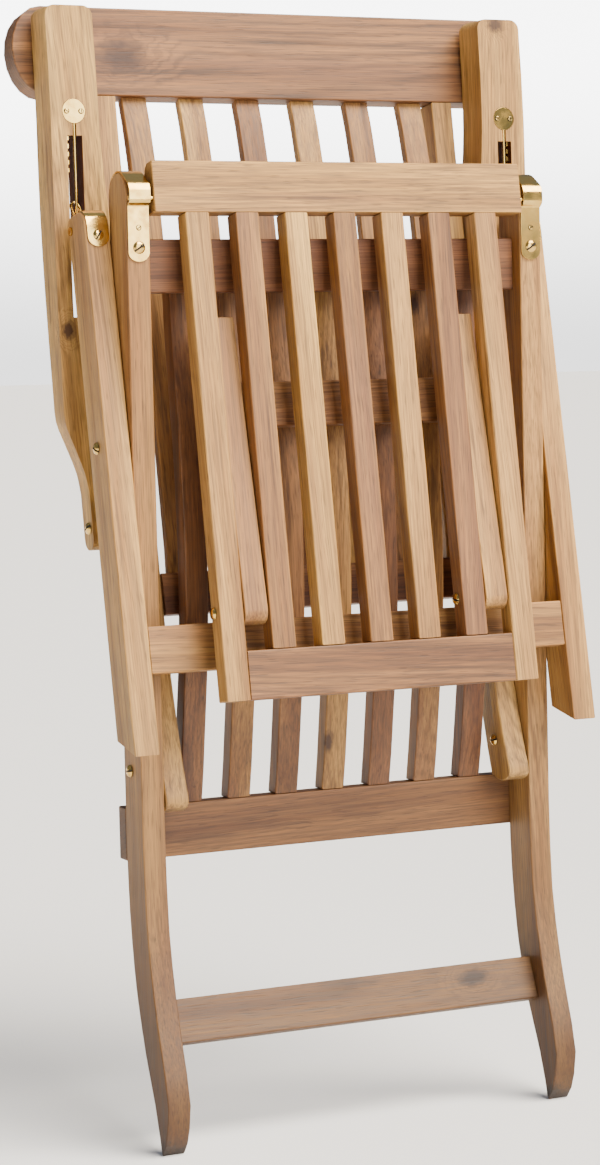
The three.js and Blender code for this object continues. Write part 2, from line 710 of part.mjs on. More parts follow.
// Armrests
const armUnder = smooth(scaled(armUnderShares, railLength, railLength), 14);
const armUpper = smooth(scaled(armUpperShares, railLength, railLength), 12);
// Quarter of a circle from its side to its top: way is 1 for the side with the larger first value, or -1.
function roundCorner(centreAcross, centreUp, radius, way) {
  const cornerSteps = 5;
  const points = [];
  for (let i = 0; i <= cornerSteps; i++) {
    const turn = (i / cornerSteps) * (Math.PI / 2);
    points.push([centreAcross + way * radius * Math.cos(turn), centreUp + radius * Math.sin(turn)]);
  }
  return points;
}
function armSideOutline() {
  const tail = [];
  const tailSteps = 6;
  const [firstY, firstZ] = armUnder[0];
  const [lastY, lastZ] = armUpper[armUpper.length - 1];
  for (let i = 1; i < tailSteps; i++) {
    const turn = -(i / tailSteps) * Math.PI;
    const middle = [(firstY + lastY) / 2, (firstZ + lastZ) / 2];
    tail.push([
      middle[0] + ((lastY - firstY) / 2) * Math.cos(turn),
      middle[1] + armPivotRadius * Math.sin(turn),
    ]);
  }
  const tipEdge = armTipZ - armTipRadius;
  const backOfTip = lineAt([...armUpper].reverse(), tipEdge);
  const tip = roundCorner(backOfTip - armTipRadius, tipEdge, armTipRadius, 1);
  return [
    ...armUnder.filter(([, z]) => z < tipEdge), [lineAt(armUnder, armTipZ), armTipZ],
    ...tip.reverse(), ...armUpper.filter(([, z]) => z < tipEdge), ...tail,
  ];
}
const underAt = (z) => lineAt(armUnder, z);
const loopTop = bailPin[1] + bailReachZ + bailWireRadius;
const slotTop = loopTop + catchClearance + rackLength + gap;
const slotBottom = slotTop - slotLength;
const slotPlateZ = slotTop + slotPlateRise;
const rodEndZ = slotBottom - stubLength;
const rodEndY = underAt(slotBottom) + slotRodInset;

for (const [side, sign] of sides) {
  const flip = (points) => (sign > 0 ? points : [...points].reverse());
  const inner = smooth(armInnerShares.map(([z, x]) => [armInner + x * armWidth, z * railLength]), 10);
  const outer = smooth(armOuterShares.map(([z, x]) => [armOuter - x * armWidth, z * railLength]), 10);
  const tipEdge = armTipZ - armTipRadius;
  const innerTip = inner[inner.length - 1][0];
  const plan = [
    ...outer.reverse(),
    ...roundCorner(armOuter - armTipRadius, tipEdge, armTipRadius, 1),
    ...roundCorner(innerTip + armTipRadius, tipEdge, armTipRadius, -1).reverse(),
    ...[...inner].reverse(),
    [armInner, armPivotZ - armPivotRadius * 2],
    [armInner + armTailWidth, armPivotZ - armPivotRadius * 2],
  ].map(([x, z]) => [sign * x, z]);
  let arm = sideBoard(armSideOutline(), sign * (armInner - sidePlay / 2), sign * (armOuter + sidePlay), 0);
  arm = arm.intersect(frontBoard(flip(plan), 0, railLength / 4, 0));
  const slotHalf = slotWidth / 2;
  const slot = [
    [sign * slotCentre - slotHalf, slotBottom], [sign * slotCentre + slotHalf, slotBottom],
    [sign * slotCentre + slotHalf, slotTop], [sign * slotCentre - slotHalf, slotTop],
  ];
  arm = arm.subtract(frontBoard(slot, 0, railLength / 4, 0));
  arm = arm.subtract(
    barX(boltRadius + gap, sign * (armInner - sidePlay), sign * (armOuter + sidePlay), armPivotY, armPivotZ),
  );

  // Round plate with the slot's rod, let into the underside.
  const seatY = underAt(slotPlateZ);
  const underSlope = Math.atan2(
    underAt(slotPlateZ + slotPlateRadius) - underAt(slotPlateZ - slotPlateRadius), 2 * slotPlateRadius,
  );
  const plate = (radius, grow, lift) => {
    const geometry = new THREE.CylinderGeometry(radius, radius, plateThickness + grow, 28);
    geometry.rotateX(-underSlope);
    geometry.translate(sign * slotCentre, seatY + plateThickness / 2 + lift, slotPlateZ);
    return solidOf(geometry);
  };
  const rod = (radius, extra) => {
    const from = new THREE.Vector3(
      sign * slotCentre, seatY + plateThickness * 0.7, slotPlateZ - slotPlateRadius / 2,
    );
    const to = new THREE.Vector3(sign * slotCentre, rodEndY, rodEndZ - extra);
    const length = from.distanceTo(to);
    const geometry = new THREE.CylinderGeometry(radius, radius, length, 16);
    const direction = to.clone().sub(from).normalize();
    geometry.applyQuaternion(new THREE.Quaternion().setFromUnitVectors(axisY, direction));
    const centre = from.add(to).multiplyScalar(1 / 2);
    geometry.translate(centre.x, centre.y, centre.z);
    return solidOf(geometry);
  };
  const neckHalf = slotRodRadius + gap;
  const neck = [
    [sign * slotCentre - neckHalf, slotTop - gap], [sign * slotCentre + neckHalf, slotTop - gap],
    [sign * slotCentre + neckHalf, slotPlateZ], [sign * slotCentre - neckHalf, slotPlateZ],
  ];
  arm = arm.subtract(plate(slotPlateRadius + gap, plateThickness * 2 + 2 * gap, gap - plateThickness));
  arm = arm.subtract(rod(slotRodRadius + gap, gap));
  arm = arm.subtract(frontBoard(neck, 0, seatY + plateThickness * 0.7 + neckHalf, 0));
  addPiece("arm_" + side, "armrest_" + side, arm, teakLight);
  const fitting = plate(slotPlateRadius, 0, 0).add(rod(slotRodRadius, 0));
  addPiece("arm_" + side, "slot_fitting_" + side, fitting, brass);

  // Notched catch on the slot's outer wall, near its upper end.
  const rackTop = slotTop - gap;
  const rackFace = underAt(rackTop) + slotRodInset * 1.6;
  const rackBack = rackFace + rackDepth;
  const notchFloor = rackFace + rackDepth / 2;
  const rackLine = [[rackBack, rackTop], [rackFace, rackTop]];
  const notches = Math.floor(rackLength / rackPitch);
  for (let i = 0; i < notches; i++) {
    const z = rackTop - (i + 0.5) * rackPitch;
    rackLine.push(
      [rackFace, z], [notchFloor, z - rackPitch * 0.15],
      [notchFloor, z - rackPitch * 0.4], [rackFace, z - rackPitch * 0.45],
    );
  }
  rackLine.push([rackFace, rackTop - rackLength], [rackBack, rackTop - rackLength]);
  const rackSide = slotCentre + slotHalf - gap;
  const rack = sideBoard(rackLine, sign * rackSide, sign * (rackSide - rackThickness), 0);
  addPiece("arm_" + side, "notched_catch_" + side, rack, brass);
}

// Footrest
const hinge = [footrestPivotY, footrestPivotZ];
const panel = (points) => lean(points, hinge, panelLean);
const panelFront = -footrestFront;
const panelBack = panelFront + footrestThickness;
const panelMiddle = (panelFront + panelBack) / 2;
const endRailTop = -footrestLength + footrestEndRailHeight;

const topRound = footrestThickness * 0.4;
const topRailOutline = panel([
  [panelFront, -footrestTopRailDrop], [panelBack, -footrestTopRailDrop],
  [panelBack, footrestTopRailRise - topRound * 1.4],
  [panelBack - topRound * 0.35, footrestTopRailRise - topRound * 0.5],
  [panelBack - topRound, footrestTopRailRise], [panelFront + edgeChamfer, footrestTopRailRise],
  [panelFront, footrestTopRailRise - edgeChamfer],
]);
let footrestTopRail = sideBoard(topRailOutline, -footrestWidth / 2, footrestWidth / 2);
const outerSlatX = footrestSlatPitch * 3;
const [endRailCentre] = panel([[panelMiddle, endRailTop - footrestEndRailHeight / 2]]);
const endRail = tenonedRail({
  centre: endRailCentre, height: footrestEndRailHeight, thickness: footrestThickness - 2 * gap,
  angle: panelLean,
  from: -outerSlatX + footrestSlatWidth / 2,
  to: outerSlatX - footrestSlatWidth / 2,
});
let footrestEndRail = endRail.solid;
const [upperJoint] = panel([[panelMiddle, -footrestTopRailDrop - gap]]);
const [lowerJoint] = panel([[panelMiddle, endRailTop + gap]]);
const [footrestLegPivot] = panel([[footrestLegPivotInset, -footrestLegPivotDrop]]);

for (let i = 0; i < slatCount; i++) {
  const place = i - (slatCount - 1) / 2;
  const x = place * footrestSlatPitch;
  const outermost = Math.abs(place) > 2;
  const bottom = outermost ? -footrestLength : endRailTop + gap;
  const outline = panel([
    [panelFront, bottom], [panelBack, bottom],
    [panelBack, -footrestTopRailDrop - gap], [panelFront, -footrestTopRailDrop - gap],
  ]);
  let slat = sideBoard(outline, x - footrestSlatWidth / 2, x + footrestSlatWidth / 2);
  const upper = stub(x, footrestSlatWidth, upperJoint, panelLean, stubLength);
  slat = slat.add(upper.solid);
  footrestTopRail = footrestTopRail.subtract(upper.pocket);
  if (outermost) slat = slat.subtract(endRail.pockets);
  else {
    const lower = stub(x, footrestSlatWidth, lowerJoint, panelLean, stubLength);
    slat = slat.add(lower.solid);
    footrestEndRail = footrestEndRail.subtract(lower.pocket);
  }
  if (Math.abs(place) > 1) {
    slat = slat.subtract(
      barX(
        smallBoltRadius + gap, x - footrestSlatWidth, x + footrestSlatWidth,
        footrestLegPivot[0], footrestLegPivot[1],
      ),
    );
  }
  addPiece("footrest", "footrest_slat_" + (i + 1), slat, i % 2 ? teakHoney : teakLight);
}
for (const [side, sign] of sides) {
  const depth = tenonLength * 1.5;
  const from = sign * (footrestWidth / 2 - depth);
  const to = sign * (railOuter - (railThickness - strapWidth) / 2);
  footrestTopRail = footrestTopRail.subtract(
    barX(hingePinRadius + gap / 2, from - sign * gap, sign * half, hinge[0], hinge[1]),
  );
  addPiece("footrest", "hinge_pin_" + side, barX(hingePinRadius, from, to, hinge[0], hinge[1]), brass);
}
addPiece("footrest", "footrest_top_rail", footrestTopRail, teakHoney);
addPiece("footrest", "footrest_end_rail", footrestEndRail, teakRed);

// Legs of the footrest, nested between its slats.
const footrestLegX = footrestSlatPitch * 2.5;
const eye = footrestLegEyeRadius;
const legBack = footrestLegDepth - eye;
const legFrame = (points) => panel(
  lean(points, [0, 0], footrestLegLean).map(([u, v]) => [u + footrestLegPivotInset, v - footrestLegPivotDrop]),
);
const legRailInset = legBack - footrestLegRailThickness / 2;
const [legRailCentre] = legFrame([[legRailInset, footrestLegRailReach]]);
const legRail = tenonedRail({
  centre: legRailCentre, height: footrestLegRailHeight, thickness: footrestLegRailThickness,
  angle: panelLean + footrestLegLean,
  from: -footrestLegX + footrestLegWidth / 2, to: footrestLegX - footrestLegWidth / 2,
});
addPiece("footrest_legs", "footrest_leg_rail", legRail.solid, teakHoney);
for (const [side, sign] of sides) {
  const points = [];
  const roundSteps = 10;
  for (let i = 0; i <= roundSteps; i++) {
    const turn = Math.PI + (i / roundSteps) * Math.PI;
    points.push([eye * Math.cos(turn), eye * Math.sin(turn)]);
  }
  points.push([eye, eye * 2], [legBack, eye * 6], [legBack, footrestLegReach], [-eye, footrestLegReach]);
  const from = sign * (footrestLegX - footrestLegWidth / 2);
  const to = sign * (footrestLegX + footrestLegWidth / 2);
  let leg = sideBoard(legFrame(points), from, to).subtract(legRail.pockets);
  leg = leg.subtract(
    barX(
      smallBoltRadius + gap, from - sign * sidePlay, to + sign * sidePlay,
      footrestLegPivot[0], footrestLegPivot[1],
    ),
  );
  addPiece("footrest_legs", "footrest_leg_" + side, leg, teakLight);
  addPiece("footrest", "footrest_leg_bolt_" + side, domedBolt(
    smallBoltRadius, boltHeadRadius, boltHeadHeight,
    sign * (outerSlatX + footrestSlatWidth / 2), sign * (footrestSlatPitch * 2 - footrestSlatWidth / 2),
    footrestLegPivot[0], footrestLegPivot[1],
  ), brass);
}

// Pivot bolts
for (const [side, sign] of sides) {
  addPiece("seat_frame", "leg_bolt_" + side, domedBolt(
    boltRadius, boltHeadRadius, boltHeadHeight, sign * half, sign * legOuter, legPivotY, legPivotZ,
  ), brass);
  addPiece("seat_frame", "back_bolt_" + side, domedBolt(
    boltRadius, boltHeadRadius, boltHeadHeight, sign * stileInner, sign * railOuter, backPivotY, backPivotZ,
  ), brass);
  addPiece("back_frame", "arm_bolt_" + side, domedBolt(
    boltRadius, boltHeadRadius, boltHeadHeight, sign * stileInner, sign * (armInner + armTailWidth),
    armPivotY, armPivotZ,
  ), brass);
}

export default chair;
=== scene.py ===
"""Folding teak deck chair, folded flat and upright, dressed for its picture.

Every board is a softened copy of its solid in sawn and oiled teak, and the fittings are polished brass
with slotted screws. Lengths are in metres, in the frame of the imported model.
"""
import json
import logging
import math
import random
from dataclasses import dataclass
from enum import Enum
from typing import Optional, Union

import bmesh
import bpy
from mathutils import Euler, Matrix, Vector


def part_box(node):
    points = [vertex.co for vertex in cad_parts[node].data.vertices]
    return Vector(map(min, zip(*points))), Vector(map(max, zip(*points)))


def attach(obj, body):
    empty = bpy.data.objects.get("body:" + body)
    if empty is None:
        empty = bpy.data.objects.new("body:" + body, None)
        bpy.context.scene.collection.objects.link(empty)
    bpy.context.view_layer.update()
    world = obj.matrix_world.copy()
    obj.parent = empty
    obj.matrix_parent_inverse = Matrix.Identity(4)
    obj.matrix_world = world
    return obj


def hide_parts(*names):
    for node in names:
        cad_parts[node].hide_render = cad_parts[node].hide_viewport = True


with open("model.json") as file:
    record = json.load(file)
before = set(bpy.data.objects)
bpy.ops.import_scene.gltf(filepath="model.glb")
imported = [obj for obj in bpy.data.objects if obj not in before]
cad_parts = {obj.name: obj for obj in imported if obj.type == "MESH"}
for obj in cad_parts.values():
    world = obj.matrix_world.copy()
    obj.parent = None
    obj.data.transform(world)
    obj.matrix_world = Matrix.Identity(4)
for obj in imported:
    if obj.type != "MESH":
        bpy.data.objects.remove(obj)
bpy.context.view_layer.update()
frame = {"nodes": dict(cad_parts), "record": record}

LOG = logging.getLogger("deck_chair")
MM = 0.001
WELD = 0.002 * MM  # corners this close are one
FLAT_BELOW = 0.6  # degrees between two faces that are one flat face
BEND_TURN = (12.0, 80.0)  # degrees of a crease that stands for a rolled bend
BEND_STEPS = 5
SIDES = ("left", "right")

Tree = bpy.types.NodeTree
Socket = bpy.types.NodeSocket
Value = Union[float, tuple[float, ...], Socket]
Triple = tuple[float, float, float]
Mesh = bmesh.types.BMesh
Piece = bpy.types.Object


def linked(name: str, data: bpy.types.ID) -> Piece:
    """Makes an object at the origin and links it to the scene.

    Args:
        name: its name.
        data: its mesh, light or camera.

    Returns:
        The object.
    """
    made = bpy.data.objects.new(name, data)
    bpy.context.scene.collection.objects.link(made)
    return made


def linear(hex_colour: str) -> tuple[float, float, float, float]:
    """Turns an sRGB hex colour into linear values.

    Args:
        hex_colour: six hex digits, such as "c09a74".

    Returns:
        Red, green, blue and an alpha of one.
    """
    shares = [int(hex_colour[i : i + 2], 16) / 255 for i in (0, 2, 4)]
    made = [s / 12.92 if s <= 0.04045 else ((s + 0.055) / 1.055) ** 2.4 for s in shares]
    return made[0], made[1], made[2], 1.0


def add_node(
    tree: Tree, kind: str, inputs: Optional[dict[Union[int, str], Value]] = None, **settings: object
) -> bpy.types.Node:
    """Adds a shader node with its settings, its values and its links.

    A map range takes its value, its old limits and its new limits as inputs 0 to 4. A colour mix takes its
    share as input 0 and its two colours as inputs 6 and 7.

    Args:
        tree: the node tree that takes it.
        kind: Blender's name for the node, after "ShaderNode".
        inputs: socket name or number to a value, or to the socket that feeds it.
        settings: the node's own properties.

    Returns:
        The node.
    """
    made = tree.nodes.new(f"ShaderNode{kind}")
    for name, value in settings.items():
        setattr(made, name, value)
    for socket, value in (inputs or {}).items():
        if isinstance(value, Socket):
            tree.links.new(value, made.inputs[socket])
        else:
            made.inputs[socket].default_value = value
    return made


def blank_material(name: str) -> tuple[bpy.types.Material, Tree]:
    """Makes a material with an empty node tree.

    Args:
        name: the material's name.

    Returns:
        The material and its tree.
    """
    material = bpy.data.materials.new(name)
    material.use_nodes = True
    material.node_tree.nodes.clear()
    return material, material.node_tree


PAINTED_SHADE = "painted_recess_shade"  # painted shade: one in a driver slot, under a screw's rim, in a sunk head's outer ring and on the walls of an armrest's slot


class Layer(Enum):
    """Names of the values that a board carries for its timber."""

    SPACE = "timber_space"
    KNOT = "knot_space"
    TONE = "timber_tone"
    FIGURE = "timber_figure"
    WEAR = "edge_wear"
    END = "end_grain"


@dataclass(frozen=True)
class TeakFinish:
    """Sawn, sanded and lightly oiled teak: satin, with drifting growth rings and short dark pores.

    Sanding leaves flat, even faces with fine scratches along the fibres, and the oil leaves a low sheen that
    breaks up along them. Heartwood boards differ from one another, from pale gold to pinkish brown.
    """

    name: str
    pale: str
    rich: str
    ring: str
    ring_spacing: float = 3.8 * MM
    ring_wander: float = 22 * MM
    wander_scale: Triple = (1.3, 8.0, 8.0)  # bends of the rings in a metre, along and across
    knot_swirl: float = 20 * MM
    fibre_width: float = 1.7 * MM  # real fibres are finer, drawn this coarse so that they show
    fibre_stretch: float = 60.0
    drift_width: float = 30 * MM
    drift_stretch: float = 26.0
    patch_width: float = 48 * MM  # of the patches in which the rings show more or less
    patch_stretch: float = 6.0
    blush_width: float = 55 * MM
    blush_stretch: float = 9.0
    vein_width: float = 6 * MM
    vein_stretch: float = 34.0
    pore_width: float = 1.2 * MM  # real pores are 0.3 mm wide, drawn this coarse so that they show
    pore_length: float = 22 * MM
    groove_depth: float = 0.25 * MM
    rose: str = "87583a"
    knot_heart: str = "33190c"
    slot_shade_colour: str = "55290f"  # painted shade on the walls of an armrest's slot
    low_darkening: str = "7d7364"  # multiplies the timber at the ground
    darkening_rise: float = 0.62  # height at which the darkening ends
    tip_darkening: str = "1d140e"
    tip_band: tuple[float, float] = (-8 * MM, 4 * MM)  # heights over which the tips' darkening fades out
    blotch_size: float = 50 * MM / 3
    blotch_drop: float = 30 * MM  # most that a blotch lifts the darkening's edge
    roughness: float = 0.56
    timber_ior: float = 1.46

    def build(self) -> bpy.types.Material:
        """Builds the timber's material.

        Returns:
            The material, which reads the values in Layer.
        """
        material, tree = blank_material(self.name)
        layers = {layer: add_node(tree, "Attribute", attribute_name=layer.value) for layer in Layer}
        space = layers[Layer.SPACE].outputs["Vector"]
        tone = layers[Layer.TONE].outputs["Fac"]
        knot_near = self._knot(tree, layers[Layer.KNOT].outputs["Vector"])
        fibre = self._streaks(tree, space, self.fibre_width, self.fibre_stretch, 5.0)
        pores = self._pores(tree, space)

        base = self._timber_colour(tree, space, knot_near, layers[Layer.FIGURE].outputs["Fac"])
        level: Value = 1.0
        # Each row holds what changes the brightness, its limits, and the brightness at each of them.
        for share, least, most, at_least, at_most in (
            (fibre, 0.3, 0.7, 0.6, 1.28),
            (pores, 0.0, 1.0, 1.0, 0.66),
            (tone, -1.0, 1.0, 0.72, 1.18),
            (layers[Layer.WEAR].outputs["Fac"], 0.0, 1.0, 1.0, 1.12),
            (layers[Layer.END].outputs["Fac"], 0.0, 1.0, 1.0, 0.72),
        ):
            part = add_node(
                tree, "MapRange", {0: share, 1: least, 2: most, 3: at_least, 4: at_most}
            ).outputs[0]
            level = add_node(tree, "Math", {0: level, 1: part}, operation="MULTIPLY").outputs[0]
        hue = add_node(tree, "MapRange", {0: tone, 1: -1.0, 2: 1.0, 3: 0.493, 4: 0.508}).outputs[0]
        colour = add_node(
            tree, "HueSaturation", {"Hue": hue, "Value": level, "Color": base}
        ).outputs["Color"]
        heart = add_node(tree, "MapRange", {0: knot_near, 1: 0.5, 2: 0.9, 4: 0.9}).outputs[0]
        colour = add_node(
            tree, "Mix", {0: heart, 6: colour, 7: linear(self.knot_heart)}, data_type="RGBA"
        ).outputs[2]
        colour = self._darken_low(tree, colour)
        # Painted shade: the walls of an armrest's slot turn dark brown and lose most of their specular
        # level.
        slot_shade = add_node(tree, "Attribute", attribute_name=PAINTED_SHADE).outputs["Fac"]
        vein = self._streaks(tree, space, self.vein_width, self.vein_stretch, 1.0)
        vein = add_node(tree, "MapRange", {0: vein, 1: 0.58, 2: 0.74, 3: 0.0, 4: 0.6}).outputs[0]
        for share, tint in ((slot_shade, self.slot_shade_colour), (vein, self.ring)):
            colour = add_node(
                tree, "Mix", {0: share, 6: colour, 7: linear(tint)}, data_type="RGBA"
            ).outputs[2]

        relief = add_node(tree, "Math", {0: fibre, 1: pores}, operation="SUBTRACT").outputs[0]
        bump = add_node(
            tree, "Bump", {"Strength": 0.35, "Distance": self.groove_depth, "Height": relief}
        ).outputs["Normal"]
        rough = add_node(
            tree,
            "MapRange",
            {0: fibre, 1: 0.3, 2: 0.7, 3: self.roughness - 0.08, 4: self.roughness + 0.08},
        ).outputs[0]
        sheen = add_node(tree, "MapRange", {0: slot_shade, 3: 0.5, 4: 0.05}).outputs[0]
        shader = add_node(
            tree,
            "BsdfPrincipled",
            {
                "Base Color": colour, "Roughness": rough, "Normal": bump, "IOR": self.timber_ior,
                "Specular IOR Level": sheen,
            },
        )
        add_node(tree, "OutputMaterial", {"Surface": shader.outputs[0]})
        return material

    def _timber_colour(self, tree: Tree, space: Socket, knot_near: Socket, figure: Socket) -> Socket:
        """Drifts between the pale and the rich colour, with rosy patches and growth rings.

        Args:
            tree: the node tree.
            space: the board's place in its log.
            knot_near: closeness to a knot.
            figure: how strongly the rings show on this board.

        Returns:
            The colour's socket.
        """
        drift = self._streaks(tree, space, self.drift_width, self.drift_stretch, 3.0)
        shade = add_node(tree, "MapRange", {0: drift, 1: 0.36, 2: 0.66}).outputs[0]
        blush = self._streaks(tree, space, self.blush_width, self.blush_stretch, 1.0)
        blush = add_node(tree, "MapRange", {0: blush, 1: 0.52, 2: 0.7, 3: 0.0, 4: 0.4}).outputs[0]
        patch = self._streaks(tree, space, self.patch_width, self.patch_stretch, 1.0)
        patch = add_node(tree, "MapRange", {0: patch, 1: 0.4, 2: 0.62, 3: 0.25, 4: 1.0}).outputs[0]
        ringed: Socket = self._rings(tree, space, knot_near)
        for part in (patch, figure):
            ringed = add_node(tree, "Math", {0: ringed, 1: part}, operation="MULTIPLY").outputs[0]
        colour: Value = linear(self.pale)
        for share, tint in ((shade, self.rich), (blush, self.rose), (ringed, self.ring)):
            colour = add_node(
                tree, "Mix", {0: share, 6: colour, 7: linear(tint)}, data_type="RGBA"
            ).outputs[2]
        return colour

    def _knot(self, tree: Tree, knot: Socket) -> Socket:
        """Closeness to a knot: one at its heart, nothing beyond its swirl.

        Args:
            tree: the node tree.
            knot: place from the knot's heart, in knot widths.

        Returns:
            The closeness socket.
        """
        ragged = add_node(tree, "TexNoise", {"Vector": knot, "Scale": 1.6, "Detail": 2.0})
        reach = add_node(tree, "VectorMath", {0: knot}, operation="LENGTH").outputs["Value"]
        edge = add_node(tree, "Math", {0: reach, 1: ragged.outputs[0]}, operation="ADD").outputs[0]
        return add_node(
            tree, "MapRange", {0: edge, 1: 0.5, 2: 3.2, 3: 1.0, 4: 0.0}, interpolation_type="SMOOTHSTEP"
        ).outputs[0]

    def _rings(self, tree: Tree, space: Socket, knot_near: Socket) -> Socket:
        """Growth rings about the log's heart, bent by slow drift and round a knot.

        Args:
            tree: the node tree.
            space: the board's place in its log, lengthwise first.
            knot_near: closeness to a knot.

        Returns:
            A socket that is one on a dark late ring and nothing between rings.
        """
        slow = add_node(
            tree, "VectorMath", {0: space, 1: self.wander_scale}, operation="MULTIPLY"
        ).outputs[0]
        wander = add_node(tree, "TexNoise", {"Vector": slow, "Scale": 1.0, "Detail": 3.0}).outputs[1]
        centred = add_node(
            tree, "VectorMath", {0: wander, 1: (0.5, 0.5, 0.5)}, operation="SUBTRACT"
        ).outputs[0]
        bend = add_node(
            tree,
            "VectorMath",
            {0: centred, 1: (0.0, self.ring_wander, self.ring_wander)},
            operation="MULTIPLY",
        ).outputs[0]
        bent = add_node(tree, "VectorMath", {0: space, 1: bend}, operation="ADD").outputs[0]
        swirl = add_node(
            tree,
            "VectorMath",
            {0: (0.0, self.knot_swirl, self.knot_swirl), "Scale": knot_near},
            operation="SCALE",
        ).outputs[0]
        bent = add_node(tree, "VectorMath", {0: bent, 1: swirl}, operation="ADD").outputs[0]
        # One turn of the wave is pi / 10 of its own unit.
        wave = add_node(
            tree,
            "TexWave",
            {"Vector": bent, "Scale": math.pi / 10 / self.ring_spacing, "Distortion": 0.9, "Detail": 2.0,
             "Detail Scale": 0.6},
            wave_type="RINGS",
            rings_direction="X",
        ).outputs[1]
        return add_node(tree, "Math", {0: wave, 1: 2.2}, operation="POWER").outputs[0]

    def _streaks(self, tree: Tree, space: Socket, width: float, stretch: float, detail: float) -> Socket:
        """Noise drawn out along the board.

        Args:
            tree: the node tree.
            space: the board's place in its log.
            width: width of a streak.
            stretch: its length over its width.
            detail: octaves of finer streaks.

        Returns:
            The noise socket.
        """
        across = 1 / width
        scales = (across / stretch, across, across)
        drawn = add_node(tree, "VectorMath", {0: space, 1: scales}, operation="MULTIPLY").outputs[0]
        return add_node(tree, "TexNoise", {"Vector": drawn, "Scale": 1.0, "Detail": detail}).outputs[0]

    def _darken_low(self, tree: Tree, colour: Socket) -> Socket:
        """Dulls the timber towards the ground, and blackens the tips that stand on it.

        Args:
            tree: the node tree.
            colour: the timber's colour before it is darkened.

        Returns:
            The darkened colour's socket.
        """
        place = add_node(tree, "TexCoord").outputs["Object"]
        rise = add_node(tree, "SeparateXYZ", {0: place}).outputs["Z"]
        blotch = add_node(
            tree, "TexNoise", {"Vector": place, "Scale": 1 / self.blotch_size, "Detail": 3.0}
        ).outputs[0]
        drop = add_node(tree, "Math", {0: blotch, 1: self.blotch_drop}, operation="MULTIPLY").outputs[0]
        ragged = add_node(tree, "Math", {0: rise, 1: drop}, operation="SUBTRACT").outputs[0]
        for tint, blend, foot, top, most in (
            (self.low_darkening, "MULTIPLY", 0.0, self.darkening_rise, 1.0),
            (self.tip_darkening, "MIX", *self.tip_band, 0.85),
        ):
            share = add_node(tree, "MapRange", {0: ragged, 1: foot, 2: top, 3: most, 4: 0.0}).outputs[0]
            colour = add_node(
                tree, "Mix", {0: share, 6: colour, 7: linear(tint)}, data_type="RGBA", blend_type=blend
            ).outputs[2]
        return colour

    def _pores(self, tree: Tree, space: Socket) -> Socket:
        """Short open pores along the fibres, one inside a pore and nothing outside."""
        fine = self._streaks(tree, space, self.pore_width, self.pore_length / self.pore_width, 0.0)
        return add_node(tree, "MapRange", {0: fine, 1: 0.63, 2: 0.74}).outputs[0]


@dataclass(frozen=True)
class BrassFinish:
    """Polished and lacquered brass: pale gold with bright highlights and a faint drawn grain.

    Painted shade darkens the driver slots, a sunk head's outer ring and the foot under each screw's rim,
    which draws their outline.
    """

    name: str = "polished_lacquered_brass"
    bright: str = "efce7c"
    deep: str = "c08f3a"
    # painted shade in the driver slots, in a sunk head's outer ring and under the screws' rims
    recess_shade_colour: str = "1d130a"
    roughness: float = 0.15
    cloud_size: float = 11 * MM
    scratch_width: float = 0.35 * MM
    scratch_stretch: float = 40.0
    scratch_depth: float = 0.05 * MM

    def build(self) -> bpy.types.Material:
        """Builds the metal's material.

        Returns:
            The material.
        """
        material, tree = blank_material(self.name)
        place = add_node(tree, "TexCoord").outputs["Object"]
        cloud = add_node(
            tree, "TexNoise", {"Vector": place, "Scale": 1 / self.cloud_size, "Detail": 3.0}
        ).outputs[0]
        across = 1 / self.scratch_width
        scales = (across, across / self.scratch_stretch, across / self.scratch_stretch)
        drawn = add_node(tree, "VectorMath", {0: place, 1: scales}, operation="MULTIPLY").outputs[0]
        scratch = add_node(tree, "TexNoise", {"Vector": drawn, "Scale": 1.0, "Detail": 1.0}).outputs[0]
        colour = add_node(
            tree, "Mix", {0: cloud, 6: linear(self.bright), 7: linear(self.deep)}, data_type="RGBA"
        ).outputs[2]
        # Painted shade: the marked faces turn dark brown, rough and not metallic.
        painted_shade = add_node(tree, "Attribute", attribute_name=PAINTED_SHADE).outputs["Fac"]
        colour = add_node(
            tree, "Mix", {0: painted_shade, 6: colour, 7: linear(self.recess_shade_colour)}, data_type="RGBA"
        ).outputs[2]
        metallic = add_node(tree, "MapRange", {0: painted_shade, 3: 1.0, 4: 0.0}).outputs[0]
        rough = add_node(
            tree,
            "MapRange",
            {0: cloud, 1: 0.3, 2: 0.7, 3: self.roughness - 0.04, 4: self.roughness + 0.1},
        ).outputs[0]
        rough = add_node(tree, "Mix", {0: painted_shade, 2: rough, 3: 0.8}).outputs[0]
        bump = add_node(
            tree, "Bump", {"Strength": 0.08, "Distance": self.scratch_depth, "Height": scratch}
        ).outputs["Normal"]
        shader = add_node(
            tree,
            "BsdfPrincipled",
            {"Base Color": colour, "Metallic": metallic, "Roughness": rough, "Normal": bump},
        )
        add_node(tree, "OutputMaterial", {"Surface": shader.outputs[0]})
        return material


@dataclass(frozen=True)
class FloorFinish:
    """Matt white studio paper, which shows only a soft contact shadow."""

    name: str = "matt_pressed_paper"
    colour: str = "ecebea"
    roughness: float = 0.9

    def build(self) -> bpy.types.Material:
        """Builds the paper's material.

        Returns:
            The material.
        """
        material, tree = blank_material(self.name)
        shader = add_node(
            tree, "BsdfPrincipled", {"Base Color": linear(self.colour), "Roughness": self.roughness}
        )
        add_node(tree, "OutputMaterial", {"Surface": shader.outputs[0]})
        return material


class Finish(Enum):
    """The finishes of the chair, by the record's material slots."""

    PALE = "teak_light"
    HONEY = "teak_honey"
    RUSSET = "teak_red"
    BRASS = "brass"


